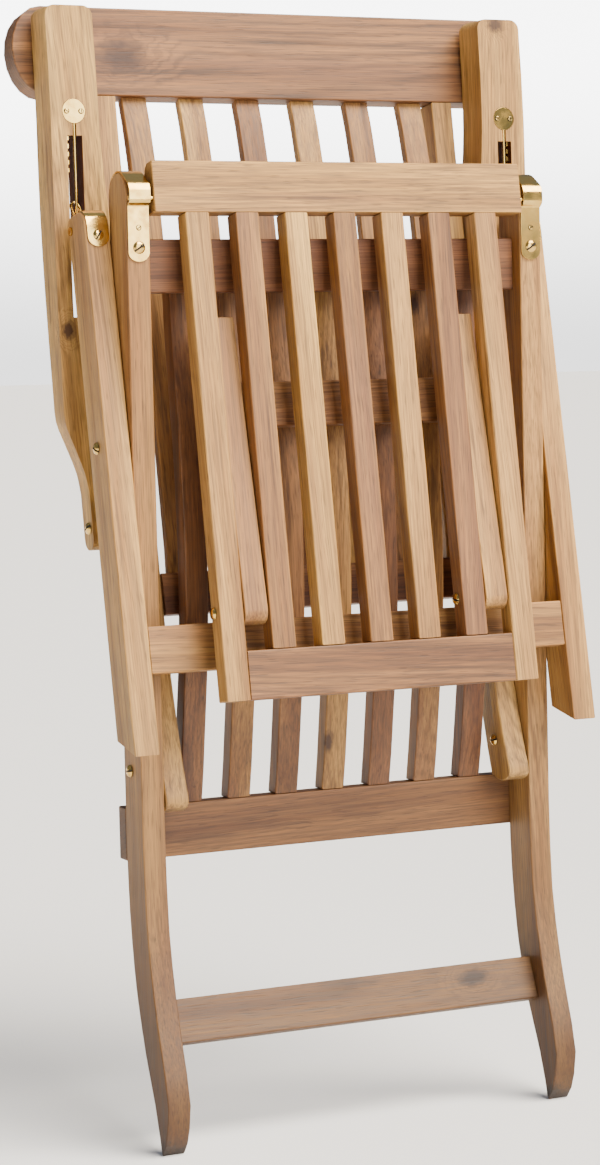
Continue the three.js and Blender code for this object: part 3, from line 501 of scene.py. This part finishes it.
RECIPES: dict[Finish, Union[TeakFinish, BrassFinish]] = {
    Finish.PALE: TeakFinish("sanded_oiled_teak_pale", pale="c0914f", rich="936430", ring="573717"),
    Finish.HONEY: TeakFinish(
        "sanded_oiled_teak_honey", pale="a9793f", rich="7c5025", ring="472a13", ring_spacing=4.4 * MM
    ),
    Finish.RUSSET: TeakFinish(
        "sanded_oiled_teak_russet", pale="916136", rich="663d1f", ring="39210f", ring_spacing=5.5 * MM
    ),
    Finish.BRASS: BrassFinish(),
}
MATERIALS: dict[Finish, bpy.types.Material] = {}
SLOTS: dict[str, Finish] = {row["node"]: Finish(row["material_slot"]) for row in frame["record"]["subparts"]}


def dress(piece: Piece, finish: Finish) -> None:
    """Gives a piece one finish.

    Args:
        piece: the piece.
        finish: its finish.
    """
    if finish not in MATERIALS:
        MATERIALS[finish] = RECIPES[finish].build()
    piece.data.materials.clear()
    piece.data.materials.append(MATERIALS[finish])


def object_from(bm: Mesh, name: str, smooth_below: float = 42.0) -> Piece:
    """Turns a bmesh into an object at the origin, smooth but for its sharp edges.

    Args:
        bm: the mesh, which is freed.
        name: the object's name.
        smooth_below: degrees under which an edge is shaded smooth.

    Returns:
        The object, linked to the scene.
    """
    mesh = bpy.data.meshes.new(name)
    bm.to_mesh(mesh)
    bm.free()
    mesh.shade_smooth()
    mesh.set_sharp_from_angle(angle=math.radians(smooth_below))
    made = linked(name, mesh)
    weighted = made.modifiers.new("flat_faces_stay_flat", "WEIGHTED_NORMAL")
    weighted.keep_sharp = True
    weighted.weight = 80  # large faces count most
    return made


@dataclass(frozen=True)
class ArmTail:
    """The rounded lower end of an armrest, which holds its bolt. The solid ends short of the bolt."""

    pivot: Vector
    inner: float  # the armrest's two sides there, in X
    outer: float
    cut: float = 53 * MM  # above the bolt, where the solid's end is taken off
    end_drop: float = 11 * MM  # from the bolt down to the middle of the rounded end
    end_shift_share: float = 0.11  # of the end's half width, from the bolt back to that middle
    hole: float = 4.4 * MM
    corner_reach: float = 4 * MM  # a point this near to a corner of the cut is that corner
    steps: int = 5  # along each straight side, and in a quarter of the round end

    def add_to(self, bm: Mesh) -> None:
        """Takes the armrest's lower end off and puts the rounded end with the bolt's hole in its place.

        Args:
            bm: the armrest's mesh.
        """
        level = self.pivot.z + self.cut
        everything = bm.verts[:] + bm.edges[:] + bm.faces[:]
        bmesh.ops.bisect_plane(
            bm, geom=everything, plane_co=(0, 0, level), plane_no=(0, 0, 1), clear_inner=True
        )
        rim = [v for v in bm.verts if abs(v.co.z - level) < 5 * WELD]
        near = min(v.co.y for v in rim)
        far = max(v.co.y for v in rim)
        outline = self._outline(near, far, level)
        sides = []
        for across in (self.inner, self.outer):
            edge = []
            hole = []
            centre = Vector((across, self.pivot.y, self.pivot.z))
            for y, z in outline:
                at = Vector((across, y, z))
                close = [v for v in rim if (v.co - at).length < self.corner_reach]
                edge.append(close[0] if close else bm.verts.new(at))
                hole.append(bm.verts.new(centre + (at - centre).normalized() * self.hole))
            sides.append((edge, hole))
        (edge_in, hole_in), (edge_out, hole_out) = sides
        for i in range(len(outline)):
            j = (i + 1) % len(outline)
            for edge, hole in sides:
                bm.faces.new((edge[i], edge[j], hole[j], hole[i]))
            bm.faces.new((hole_in[i], hole_in[j], hole_out[j], hole_out[i]))
            # The last stretch lies on the cut, inside the armrest, and has no face.
            if j:
                bm.faces.new((edge_in[i], edge_in[j], edge_out[j], edge_out[i]))
        bmesh.ops.recalc_face_normals(bm, faces=bm.faces)

    def _outline(self, near: float, far: float, level: float) -> list[tuple[float, float]]:
        """Draws the end from its front corner round to its back corner.

        Args:
            near: front corner, in Y.
            far: back corner, in Y.
            level: height of both.

        Returns:
            Points in Y and Z.
        """
        radius = (far - near) / 2
        top = Vector((near + radius, level))
        middle = Vector((self.pivot.y + self.end_shift_share * radius, self.pivot.z - self.end_drop))
        down = (middle - top).normalized()
        across = Vector((-down.y, down.x))
        front = [top.lerp(middle, i / self.steps) - radius * across for i in range(1, self.steps)]
        turns = [math.pi * i / (2 * self.steps) for i in range(2 * self.steps + 1)]
        end = [middle + radius * (math.sin(turn) * down - math.cos(turn) * across) for turn in turns]
        back = [middle.lerp(top, i / self.steps) + radius * across for i in range(1, self.steps)]
        return [(near, level)] + [(p.x, p.y) for p in front + end + back] + [(far, level)]


def softened_copy(
    node: str,
    radius: float,
    segments: int,
    sharp: float = 34.0,
    bend: float = 0.0,
    tail: Optional[ArmTail] = None,
) -> Mesh:
    """Copies a solid and rounds its outer edges.

    Args:
        node: the solid's name.
        radius: width taken off each edge.
        segments: steps round the edge.
        sharp: degrees over which an edge is rounded.
        bend: larger radius of the outward bends that run across the chair, or nothing.
        tail: an armrest's rounded end, put on before the edges are rounded.

    Returns:
        The mesh. Its layer "worn" marks the rounded faces.
    """
    bm = bmesh.new()
    bm.from_mesh(frame["nodes"][node].data)
    bmesh.ops.remove_doubles(bm, verts=bm.verts, dist=WELD)
    bmesh.ops.dissolve_limit(bm, angle_limit=math.radians(FLAT_BELOW), verts=bm.verts, edges=bm.edges)
    worn = bm.faces.layers.int.new("worn")
    if tail:
        tail.add_to(bm)
    if bend:
        # The bends run across the chair, and are long beside their radius.
        least, most = BEND_TURN
        creases = [
            e for e in bm.edges
            if e.is_manifold and e.is_convex and least < math.degrees(e.calc_face_angle(0.0)) < most
            and abs((e.verts[1].co - e.verts[0].co).normalized().x) > 0.98 and e.calc_length() > 4 * bend
        ]
        bmesh.ops.bevel(
            bm, geom=creases, affect="EDGES", offset=bend, offset_type="OFFSET", segments=BEND_STEPS,
            profile=0.5, material=-1, clamp_overlap=True,
        )
    edges = [
        e for e in bm.edges
        if e.is_manifold and e.is_convex and math.degrees(e.calc_face_angle(0.0)) > sharp
    ]
    made = bmesh.ops.bevel(
        bm, geom=edges, affect="EDGES", offset=radius, offset_type="OFFSET", segments=segments,
        profile=0.5, material=-1, clamp_overlap=True,
    )
    for face in made["faces"]:
        face[worn] = 1
    return bm


@dataclass(frozen=True)
class Knot:
    """A knot in a board: where it is, how wide, and how far it is drawn out along the board."""

    place: Triple
    width: float = 9 * MM
    stretch: float = 1.8


@dataclass
class Board:
    """One board of sawn teak, cut from a log of its own."""

    node: str
    body: str
    edge: float = 1.1 * MM
    steps: int = 2
    tone: Optional[float] = None
    figure: Optional[float] = None  # how strongly the growth rings show
    knot: Optional[Knot] = None
    slot: Optional[tuple[float, float, float, float]] = None  # left, right, bottom and top of a slot whose walls get painted shade
    tail: Optional[ArmTail] = None
    heart_away: tuple[float, float] = (40 * MM, 150 * MM)
    log_half: float = 2.0  # half the length of a log
    grain_tilt: float = 0.035  # most that the fibres lean from the board, in radians
    no_knot: float = 50.0  # knot widths to a knot that doesn't show
    end_facing: float = 0.8  # a face that points this much along the board is end grain
    end_share: float = 0.15  # of the board's length, whose corners' middle is its end

    def make(self) -> Piece:
        """Makes the board, lays its timber and puts it in place of its solid.

        Returns:
            The board.
        """
        bm = softened_copy(self.node, self.edge, self.steps, tail=self.tail)
        run = self._run(bm)
        self._lay_timber(bm, run)
        piece = object_from(bm, f"{self.node}_board")
        dress(piece, SLOTS[self.node])
        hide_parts(self.node)
        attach(piece, self.body)
        LOG.info("board %s, %d faces", piece.name, len(piece.data.polygons))
        return piece

    def _run(self, bm: Mesh) -> Vector:
        """Finds which way the board runs, from its ends' middles.

        Args:
            bm: the board's mesh.

        Returns:
            The unit direction of its fibres.
        """
        low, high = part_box(self.node)
        span = high - low
        longest = list(span).index(max(span))
        reach = span[longest] * self.end_share
        foot = [v.co for v in bm.verts if v.co[longest] < low[longest] + reach]
        head = [v.co for v in bm.verts if v.co[longest] > high[longest] - reach]
        return (sum(head, Vector()) / len(head) - sum(foot, Vector()) / len(foot)).normalized()

    def _lay_timber(self, bm: Mesh, run: Vector) -> None:
        """Gives every corner its place in the log, and marks end grain and worn edges.

        Args:
            bm: the board's mesh.
            run: the direction of its fibres.
        """
        draw = random.Random(self.node)
        low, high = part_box(self.node)
        side = Vector((1, 0, 0)) if abs(run.x) < 0.7 else Vector((0, 0, 1))
        face = run.cross(side).normalized()
        side = face.cross(run).normalized()
        turn = draw.uniform(-math.pi, math.pi)
        away = draw.uniform(*self.heart_away)
        along = draw.uniform(-self.log_half, self.log_half)
        lean = [draw.uniform(-self.grain_tilt, self.grain_tilt) for _ in range(2)]
        tilt = Euler((0.0, *lean)).to_matrix()
        heart = Vector((along, away * math.cos(turn), away * math.sin(turn)))
        tone = draw.uniform(-0.8, 0.8) if self.tone is None else self.tone
        figure = draw.uniform(0.1, 0.4) if self.figure is None else self.figure
        middle = (low + high) / 2
        space = bm.verts.layers.float_vector.new(Layer.SPACE.value)
        knot = bm.verts.layers.float_vector.new(Layer.KNOT.value)
        tones = bm.verts.layers.float.new(Layer.TONE.value)
        figures = bm.verts.layers.float.new(Layer.FIGURE.value)
        far = Vector((self.no_knot,) * 3)
        for vert in bm.verts:
            from_middle = vert.co - middle
            local = Vector((from_middle.dot(run), from_middle.dot(side), from_middle.dot(face)))
            vert[space] = tilt @ local + heart
            vert[tones] = tone
            vert[figures] = figure
            vert[knot] = far
            if self.knot:
                gap = vert.co - Vector(self.knot.place)
                local = Vector((gap.dot(run) / self.knot.stretch, gap.dot(side), gap.dot(face)))
                vert[knot] = local / self.knot.width
        wear = bm.faces.layers.float.new(Layer.WEAR.value)
        ends = bm.faces.layers.float.new(Layer.END.value)
        worn = bm.faces.layers.int["worn"]
        painted_shade = bm.faces.layers.float.new(PAINTED_SHADE)
        for f in bm.faces:
            f[wear] = float(f[worn])
            f[ends] = 1.0 if abs(f.normal.dot(run)) > self.end_facing else 0.0
            # Painted shade on the walls of the armrest's slot.
            if self.slot:
                left, right, bottom, top = self.slot
                centre = f.calc_center_median()
                is_wall = abs(f.normal.y) < 0.5
                f[painted_shade] = float(is_wall and left < centre.x < right and bottom < centre.z < top)


@dataclass
class Fitting:
    """A brass fitting that keeps its solid's shape, with its edges eased."""

    node: str
    body: str
    edge: float = 0.3 * MM
    bend: float = 0.0  # radius of the bends across the chair

    def make(self) -> Piece:
        """Makes the fitting in place of its solid.

        Returns:
            The fitting.
        """
        bm = softened_copy(self.node, self.edge, 2, sharp=50.0, bend=self.bend)
        piece = object_from(bm, f"{self.node}_metal")
        dress(piece, Finish.BRASS)
        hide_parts(self.node)
        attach(piece, self.body)
        LOG.info("fitting %s", piece.name)
        return piece


class Head(Enum):
    """Forms of a screw's head, by the power that flattens its crown."""

    DOME = 1.0
    SUNK = 3.0


@dataclass(frozen=True)
class SlottedHead:
    """A screw's head with a driver slot, turned about its axis and set on its seat."""

    form: Head
    radius: float
    height: float
    rim_share: float = 0.3  # of the height, up to the crown's foot
    edge_shares: tuple[float, float] = (0.4, 0.7)  # of that, up to the neck's end and to the widest ring
    neck_share: float = 0.84  # of the radius, where the head meets its seat
    crown_share: float = 0.97  # of the radius, at the crown's foot
    slot_share: float = 0.16  # of the radius, the slot's half width
    floor_share: float = 0.42  # of the height, the slot's floor
    ring_share: float = 0.74  # of the radius, beyond which a sunk head has painted shade
    seam_share: float = 0.6  # of the rim's height, below which every head has painted shade
    slack: float = 0.02  # share by which a face may miss the slot's edge
    rise_steps: int = 6
    turn_steps: int = 28

    def add_to(self, bm: Mesh, at: Vector, out: Vector, twist: float) -> None:
        """Adds the head to a mesh.

        Args:
            bm: the mesh that takes it.
            at: the middle of its seat.
            out: the way it faces.
            twist: turn of the slot, in radians.
        """
        head = bmesh.new()
        for target in (bm, head):
            if PAINTED_SHADE not in target.faces.layers.float:
                target.faces.layers.float.new(PAINTED_SHADE)
        self._turn(head)
        self._cut_slot(head)
        self._mark_painted_shade(head)
        facing = out.to_track_quat("Z", "Y").to_matrix().to_4x4()
        place = Matrix.Translation(at) @ facing @ Matrix.Rotation(twist, 4, "Z")
        bmesh.ops.transform(head, matrix=place, verts=head.verts)
        spare = bpy.data.meshes.new("spare")
        head.to_mesh(spare)
        head.free()
        bm.from_mesh(spare)
        bpy.data.meshes.remove(spare)

    def _turn(self, head: Mesh) -> None:
        """Spins the head's profile, from the middle of its seat out and up to its crown.

        Args:
            head: the empty mesh that takes it.
        """
        rim = self.rim_share * self.height
        neck = self.neck_share * self.radius
        neck_end, widest = (rim * share for share in self.edge_shares)
        under = ((0, 0), (neck, 0), (neck, neck_end), (self.radius, widest))
        profile = [head.verts.new((across, 0, up)) for across, up in under]
        for i in range(self.rise_steps, -1, -1):
            share = i / self.rise_steps
            rise = math.sqrt(max(0.0, 1 - share**2)) ** (1 / self.form.value)
            up = rim + (self.height - rim) * rise
            profile.append(head.verts.new((self.radius * self.crown_share * share, 0, up)))
        edges = [head.edges.new(pair) for pair in zip(profile, profile[1:])]
        bmesh.ops.spin(
            head, geom=profile + edges, axis=(0, 0, 1), cent=(0, 0, 0), steps=self.turn_steps,
            angle=2 * math.pi, use_merge=True,
        )
        bmesh.ops.remove_doubles(head, verts=head.verts, dist=2 * WELD)
        bmesh.ops.recalc_face_normals(head, faces=head.faces)

    def _cut_slot(self, head: Mesh) -> None:
        """Sinks the driver slot into the crown.

        Args:
            head: the turned head.
        """
        half = self.radius * self.slot_share
        for reach in (-half, half):
            everything = head.verts[:] + head.edges[:] + head.faces[:]
            bmesh.ops.bisect_plane(head, geom=everything, plane_co=(0, reach, 0), plane_no=(0, 1, 0))
        inside = half * (1 - self.slack)
        slot = [f for f in head.faces if abs(f.calc_center_median().y) < inside and f.normal.z > 0.3]
        sunk = bmesh.ops.extrude_face_region(head, geom=slot)
        bmesh.ops.delete(head, geom=slot, context="FACES")
        floor = self.height * self.floor_share
        for item in sunk["geom"]:
            if isinstance(item, bmesh.types.BMVert):
                item.co.z = min(item.co.z, floor)
        head.normal_update()

    def _mark_painted_shade(self, head: Mesh) -> None:
        """Marks painted shade on the faces in the slot, under the rim and in the outer ring of a sunk head.

        Args:
            head: the slotted head.
        """
        painted_shade = head.faces.layers.float[PAINTED_SHADE]
        half = self.radius * self.slot_share
        for f in head.faces:
            centre = f.calc_center_median()
            away = centre.xy.length / self.radius
            up = centre.z / self.height
            in_slot = abs(centre.y) < half * (1 + self.slack) and away < 1 - self.slack and up < 0.9
            in_ring = self.form is Head.SUNK and away > self.ring_share
            f[painted_shade] = float(in_slot or in_ring or up < self.rim_share * self.seam_share)


@dataclass
class PivotBolt:
    """A brass bolt across a joint, with a slotted dome at each end."""

    node: str
    body: str
    height: float = 4 * MM
    shank_share: float = 0.47  # of the head's radius, so that the shank stays clear of its hole

    def make(self) -> Piece:
        """Makes the bolt in place of its solid.

        Returns:
            The bolt.
        """
        low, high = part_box(self.node)
        centre = (low + high) / 2
        radius = (high.z - low.z) / 2
        shank = radius * self.shank_share
        draw = random.Random(self.node)
        bm = bmesh.new()
        length = high.x - low.x - 2 * self.height
        bmesh.ops.create_cone(
            bm, cap_ends=True, segments=24, radius1=shank, radius2=shank, depth=length,
            matrix=Matrix.Translation(centre) @ Matrix.Rotation(math.pi / 2, 4, "Y"),
        )
        for way in (-1.0, 1.0):
            seat = centre + Vector((way * length / 2, 0, 0))
            twist = draw.uniform(0, math.pi)
            SlottedHead(Head.DOME, radius, self.height).add_to(bm, seat, Vector((way, 0, 0)), twist)
        piece = object_from(bm, f"{self.node}_slotted")
        dress(piece, Finish.BRASS)
        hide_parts(self.node)
        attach(piece, self.body)
        LOG.info("bolt %s", piece.name)
        return piece


@dataclass
class Screw:
    """A brass wood screw in a fitting."""

    name: str
    body: str
    at: Vector
    out: Vector
    radius: float
    height: float
    form: Head = Head.DOME
    twist: float = 0.6  # turn of the slot, in radians

    def make(self) -> Piece:
        """Makes the screw's head on its seat.

        Returns:
            The screw.
        """
        bm = bmesh.new()
        SlottedHead(self.form, self.radius, self.height).add_to(bm, self.at, self.out, self.twist)
        piece = object_from(bm, self.name)
        dress(piece, Finish.BRASS)
        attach(piece, self.body)
        LOG.info("screw %s", piece.name)
        return piece


@dataclass
class SeatFrame:
    """The two long rails with the curved seat slats, three cross pieces and the brass hooks."""

    body: str = "seat_frame"
    slats: int = 7
    face_reach: float = 30 * MM  # from a hook's lower end, over which its front face is measured
    screw_rise: float = 15.5 * MM  # large screw above that end
    screw_radius: float = 6.9 * MM
    screw_height: float = 2.8 * MM
    pin_screw_rise: float = 37 * MM
    pin_screw_radius: float = 3.2 * MM
    pin_screw_height: float = 1.1 * MM
    slat_knots: tuple[tuple[int, Triple], ...] = (
        (4, (-10 * MM, 39 * MM, 434 * MM)),
        (6, (114 * MM, 41 * MM, 934 * MM)),
    )
    stretcher_knot: Knot = Knot((152 * MM, -2 * MM, 149 * MM), stretch=2.2)

    def build(self) -> None:
        """Builds the boards, hooks, bolts and screws."""
        for side in SIDES:
            tone = -0.6 if side == "left" else -0.45
            Board(f"seat_rail_{side}", self.body, edge=1.3 * MM, tone=tone).make()
        Board("seat_cross_rail", self.body, edge=1.0 * MM, tone=-0.9).make()
        Board("rear_rail", self.body, edge=1.0 * MM, tone=0.5, figure=0.3).make()
        Board(
            "foot_stretcher", self.body, edge=1.0 * MM, tone=0.1, figure=0.6, knot=self.stretcher_knot
        ).make()
        places = dict(self.slat_knots)
        for i in range(1, self.slats + 1):
            knot = Knot(places[i], width=6 * MM, stretch=2.0) if i in places else None
            Board(f"seat_slat_{i}", self.body, knot=knot).make()
        for side in SIDES:
            Fitting(f"hook_{side}", self.body, bend=3 * MM).make()
            self._hook_screws(side)
            PivotBolt(f"leg_bolt_{side}", self.body).make()
            PivotBolt(f"back_bolt_{side}", self.body).make()

    def _hook_screws(self, side: str) -> None:
        """Puts the large and the small screw in a hook's shank.

        Args:
            side: "left" or "right".
        """
        low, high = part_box(f"hook_{side}")
        front = frame["nodes"][f"hook_{side}"].data.vertices
        face = min(v.co.y for v in front if v.co.z < low.z + self.face_reach)
        middle = (low.x + high.x) / 2
        for name, rise, radius, height, form in (
            ("screw", self.screw_rise, self.screw_radius, self.screw_height, Head.DOME),
            ("pin_screw", self.pin_screw_rise, self.pin_screw_radius, self.pin_screw_height, Head.SUNK),
        ):
            at = Vector((middle, face, low.z + rise))
            Screw(f"hook_{name}_{side}", self.body, at, Vector((0, -1, 0)), radius, height, form).make()


@dataclass
class FrontLegs:
    """The two crossing legs with their stretcher, brass straps and wire loops."""

    body: str = "front_legs"
    lean: float = 0.183  # of the straps from upright, in radians
    screw_rise: float = 13 * MM  # along a strap, from its lower end
    screw_radius: float = 6.0 * MM
    screw_height: float = 2.8 * MM

    def build(self) -> None:
        """Builds the boards, straps, wire loops and screws."""
        Board("leg_stretcher", self.body, tone=0.0).make()
        for side in SIDES:
            Board(f"front_leg_{side}", self.body, edge=1.3 * MM, tone=0.2 if side == "left" else 0.0).make()
            Fitting(f"leg_strap_{side}", self.body).make()
            Fitting(f"bail_{side}", self.body, edge=0.1 * MM).make()
            low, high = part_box(f"leg_strap_{side}")
            run = Vector((0, math.sin(self.lean), math.cos(self.lean)))
            out = Vector((0, -math.cos(self.lean), math.sin(self.lean)))
            foot = Vector(((low.x + high.x) / 2, low.y, low.z))
            at = foot + run * self.screw_rise
            name = f"strap_screw_{side}"
            Screw(name, self.body, at, out, self.screw_radius, self.screw_height, twist=1.0).make()


@dataclass
class BackFrame:
    """The two curved stiles with the back slats, the broad head rail and the lower rail."""

    body: str = "back_frame"
    slats: int = 6
    knot_share: float = 0.2  # of the head rail's length, from its left end to its knot

    def build(self) -> None:
        """Builds the boards and the armrests' bolts."""
        for side in SIDES:
            Board(f"back_stile_{side}", self.body, edge=1.3 * MM, tone=0.5).make()
        low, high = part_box("head_rail")
        across = low.x + self.knot_share * (high.x - low.x)
        eye = Knot((across, low.y, (low.z + high.z) / 2), width=18 * MM, stretch=1.9)
        Board("head_rail", self.body, edge=1.6 * MM, steps=3, tone=0.1, figure=0.75, knot=eye).make()
        Board("lower_back_rail", self.body, tone=-0.6).make()
        for i in range(1, self.slats + 1):
            Board(f"back_slat_{i}", self.body).make()
        for side in SIDES:
            PivotBolt(f"arm_bolt_{side}", self.body).make()


@dataclass
class Armrests:
    """The two slotted armrests with their round plates, rods and notched catches."""

    plate_radius: float = 13.5 * MM
    screw_reach: float = 8.6 * MM  # from the plate's middle
    screw_radius: float = 3.1 * MM
    screw_height: float = 0.8 * MM
    screw_sink: float = 0.1 * MM
    plate_rise: float = 27 * MM  # plate's middle above the slot's upper end
    slot_half: float = 9.3 * MM
    slot_length: float = 202 * MM
    slot_margin: float = 1 * MM  # past the slot's upper end, so that its end wall gets the painted shade too
    tail_reach: float = 8 * MM  # above the bolt's head, where the armrest has its tail's full width

    def build(self) -> None:
        """Builds both armrests."""
        for side in SIDES:
            body = f"arm_{side}"
            if side == "left":
                knot = Knot((-290 * MM, 101 * MM, 911 * MM), width=7 * MM, stretch=1.5)
            else:
                knot = Knot((270 * MM, 117 * MM, 1266 * MM), width=10 * MM, stretch=0.9)
            tone = 0.9 if side == "left" else 0.4
            plate_low, plate_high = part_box(f"slot_fitting_{side}")
            middle = (plate_low.x + plate_high.x) / 2
            top = plate_high.z - self.plate_radius - self.plate_rise
            left, right = middle - self.slot_half, middle + self.slot_half
            # The walls inside this box get painted shade.
            slot = (left, right, top - self.slot_length, top + self.slot_margin)
            Board(
                f"armrest_{side}", body, 2.6 * MM, steps=3, tone=tone, figure=0.5, knot=knot, slot=slot,
                tail=self._tail(side),
            ).make()
            Fitting(f"slot_fitting_{side}", body, edge=0.35 * MM).make()
            Fitting(f"notched_catch_{side}", body, edge=0.15 * MM).make()
            self._plate_screws(side, body)

    def _tail(self, side: str) -> ArmTail:
        """Places the rounded end of one armrest about its bolt.

        Args:
            side: "left" or "right".

        Returns:
            The rounded end.
        """
        low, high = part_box(f"arm_bolt_{side}")
        arm = frame["nodes"][f"armrest_{side}"].data.vertices
        foot = [abs(v.co.x) for v in arm if v.co.z < high.z + self.tail_reach]
        way = -1.0 if side == "left" else 1.0
        return ArmTail(pivot=(low + high) / 2, inner=way * min(foot), outer=way * max(foot))

    def _plate_screws(self, side: str, body: str) -> None:
        """Puts the two small screws in a round plate.

        Args:
            side: "left" or "right".
            body: the armrest's body.
        """
        low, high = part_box(f"slot_fitting_{side}")
        middle = (low.x + high.x) / 2
        plate = [
            v.co for v in frame["nodes"][f"slot_fitting_{side}"].data.vertices
            if v.co.z > high.z - 2 * self.plate_radius
        ]
        face = min(p.y for p in plate)
        for name, way in (("a", -1.0), ("b", 1.0)):
            across = middle + way * self.screw_reach
            at = Vector((across, face + self.screw_sink, high.z - self.plate_radius))
            Screw(
                f"plate_screw_{name}_{side}", body, at, Vector((0, -1, 0)), self.screw_radius,
                self.screw_height, Head.SUNK, twist=0.4 + way,
            ).make()


@dataclass
class Footrest:
    """The slatted footrest, folded flat against the seat, on its brass hinge pins."""

    body: str = "footrest"
    slats: int = 7
    knotted_slat: int = 6
    slat_knot: Knot = Knot((119 * MM, -28 * MM, 997 * MM), width=4 * MM, stretch=2.5)

    def build(self) -> None:
        """Builds the boards, the hinge pins and the legs' bolts."""
        Board("footrest_top_rail", self.body, edge=1.4 * MM, tone=0.8, figure=0.35).make()
        Board("footrest_end_rail", self.body, edge=1.0 * MM, tone=0.4, figure=0.6).make()
        for i in range(1, self.slats + 1):
            knot = self.slat_knot if i == self.knotted_slat else None
            Board(f"footrest_slat_{i}", self.body, edge=1.2 * MM, knot=knot).make()
        for side in SIDES:
            Fitting(f"hinge_pin_{side}", self.body, edge=0.4 * MM).make()
            PivotBolt(f"footrest_leg_bolt_{side}", self.body).make()


@dataclass
class FootrestLegs:
    """The footrest's two short legs with the rail between them."""

    body: str = "footrest_legs"

    def build(self) -> None:
        """Builds the boards."""
        for side in SIDES:
            Board(f"footrest_leg_{side}", self.body, edge=1.3 * MM, tone=-0.3).make()
        Board("footrest_leg_rail", self.body, tone=-0.8).make()


@dataclass
class Camera:
    """The photograph's viewpoint."""

    eye: Triple = (-1.4478, -2.9424, 0.8640)
    yaw: float = 25.252  # degrees, as the next two
    pitch: float = 4.248
    roll: float = -1.323
    focal_pixels: float = 2900.0
    picture_height: float = 1165.0
    sensor: float = 36.0

    def build(self) -> None:
        """Places the camera."""
        yaw, pitch, roll = (math.radians(a) for a in (self.yaw, self.pitch, self.roll))
        ahead = Vector((math.sin(yaw) * math.cos(pitch), math.cos(yaw) * math.cos(pitch), -math.sin(pitch)))
        level = Vector((math.cos(yaw), -math.sin(yaw), 0))
        upright = level.cross(ahead)
        right = math.cos(roll) * level + math.sin(roll) * upright
        up = -math.sin(roll) * level + math.cos(roll) * upright
        turned = Matrix((right, up, -ahead)).transposed().to_4x4()
        data = bpy.data.cameras.new("photo_camera")
        data.sensor_width = self.sensor
        data.lens = self.focal_pixels * self.sensor / self.picture_height
        camera = linked("photo_camera", data)
        camera.matrix_world = Matrix.Translation(Vector(self.eye)) @ turned
        bpy.context.scene.camera = camera


@dataclass
class Studio:
    """White paper floor and large soft lights."""

    floor_half: float = 200.0
    sky: float = 0.42
    wall_foot: float = 2.9  # level of the far wall that the camera sees, at the floor
    wall_top: float = 9.0
    glow_rise: float = 0.11  # share of the way up at which the wall is at its brightest
    room_levels: tuple[tuple[float, float], ...] = (
        (0.0, 1.0), (0.3, 0.7), (0.5, 0.6), (0.7, 0.8), (0.85, 1.0)
    )  # share of the way up, and the level there
    panel_place: Triple = (0.5, -3.2, 1.6)
    panel_aim: Triple = (0.0, 0.0, 0.95)
    panel_power: float = 60.0
    panel_size: float = 1.8
    overhead_power: float = 10.5
    overhead_spread: float = 50.0  # degrees, as the next two
    overhead_rise: float = 50.0
    overhead_turn: float = 32.0
    room_tint: str = "dde8f7"
    lamp_tint: str = "fff6e8"

    def build(self) -> None:
        """Builds the floor, the surrounding light and the lamps."""
        bm = bmesh.new()
        bmesh.ops.create_grid(bm, x_segments=1, y_segments=1, size=self.floor_half)
        mesh = bpy.data.meshes.new("paper_floor")
        bm.to_mesh(mesh)
        bm.free()
        floor = linked("paper_floor", mesh)
        mesh.materials.append(FloorFinish().build())
        self._surround()
        self._panel()
        self._overhead()

    def _surround(self) -> None:
        """Lights the room evenly, a little darker between the horizon and the ceiling."""
        world = bpy.data.worlds.new("white_room")
        bpy.context.scene.world = world
        world.use_nodes = True
        tree = world.node_tree
        tree.nodes.clear()
        way = add_node(tree, "TexCoord").outputs["Generated"]
        rise = add_node(tree, "SeparateXYZ", {0: way}).outputs["Z"]
        ramp = add_node(tree, "ValToRGB", {0: rise})
        band = ramp.color_ramp
        while len(band.elements) < len(self.room_levels):
            band.elements.new(0.5)
        for element, (place, level) in zip(band.elements, self.room_levels):
            element.position = place
            element.color = tuple(level * part for part in linear(self.room_tint)[:3]) + (1.0,)
        light = add_node(tree, "Background", {"Color": ramp.outputs[0], "Strength": self.sky})
        glow = add_node(
            tree,
            "MapRange",
            {0: rise, 1: 0.0, 2: self.glow_rise, 3: self.wall_foot, 4: self.wall_top},
            interpolation_type="SMOOTHSTEP",
        ).outputs[0]
        wall = add_node(tree, "Background", {"Strength": glow})
        seen = add_node(tree, "LightPath").outputs["Is Camera Ray"]
        shown = add_node(tree, "MixShader", {0: seen, 1: light.outputs[0], 2: wall.outputs[0]})
        add_node(tree, "OutputWorld", {"Surface": shown.outputs[0]})

    def _panel(self) -> None:
        """Places a square softbox before the chair."""
        data = bpy.data.lights.new("front_panel", "AREA")
        data.shape = "SQUARE"
        data.size = self.panel_size
        data.energy = self.panel_power
        lamp = linked("front_panel", data)
        place = Vector(self.panel_place)
        facing = (Vector(self.panel_aim) - place).to_track_quat("-Z", "Y").to_matrix().to_4x4()
        lamp.matrix_world = Matrix.Translation(place) @ facing

    def _overhead(self) -> None:
        """Hangs a wide overhead light, which whitens the paper evenly."""
        data = bpy.data.lights.new("overhead_light", "SUN")
        data.energy = self.overhead_power
        data.color = linear(self.lamp_tint)[:3]
        data.angle = math.radians(self.overhead_spread)
        lamp = linked("overhead_light", data)
        rise, turn = math.radians(self.overhead_rise), math.radians(self.overhead_turn)
        source = Vector((math.sin(turn) * math.cos(rise), -math.cos(turn) * math.cos(rise), math.sin(rise)))
        lamp.matrix_world = (-source).to_track_quat("-Z", "Y").to_matrix().to_4x4()


def main() -> None:
    """Builds the camera, the chair's sub-assemblies and the studio, in that order."""
    logging.basicConfig(level=logging.INFO, format="%(name)s: %(message)s")
    Camera().build()
    for assembly in (SeatFrame(), FrontLegs(), BackFrame(), Armrests(), Footrest(), FootrestLegs()):
        assembly.build()
        LOG.info("built %s", type(assembly).__name__)
    Studio().build()


if __name__ == "__main__":
    main()
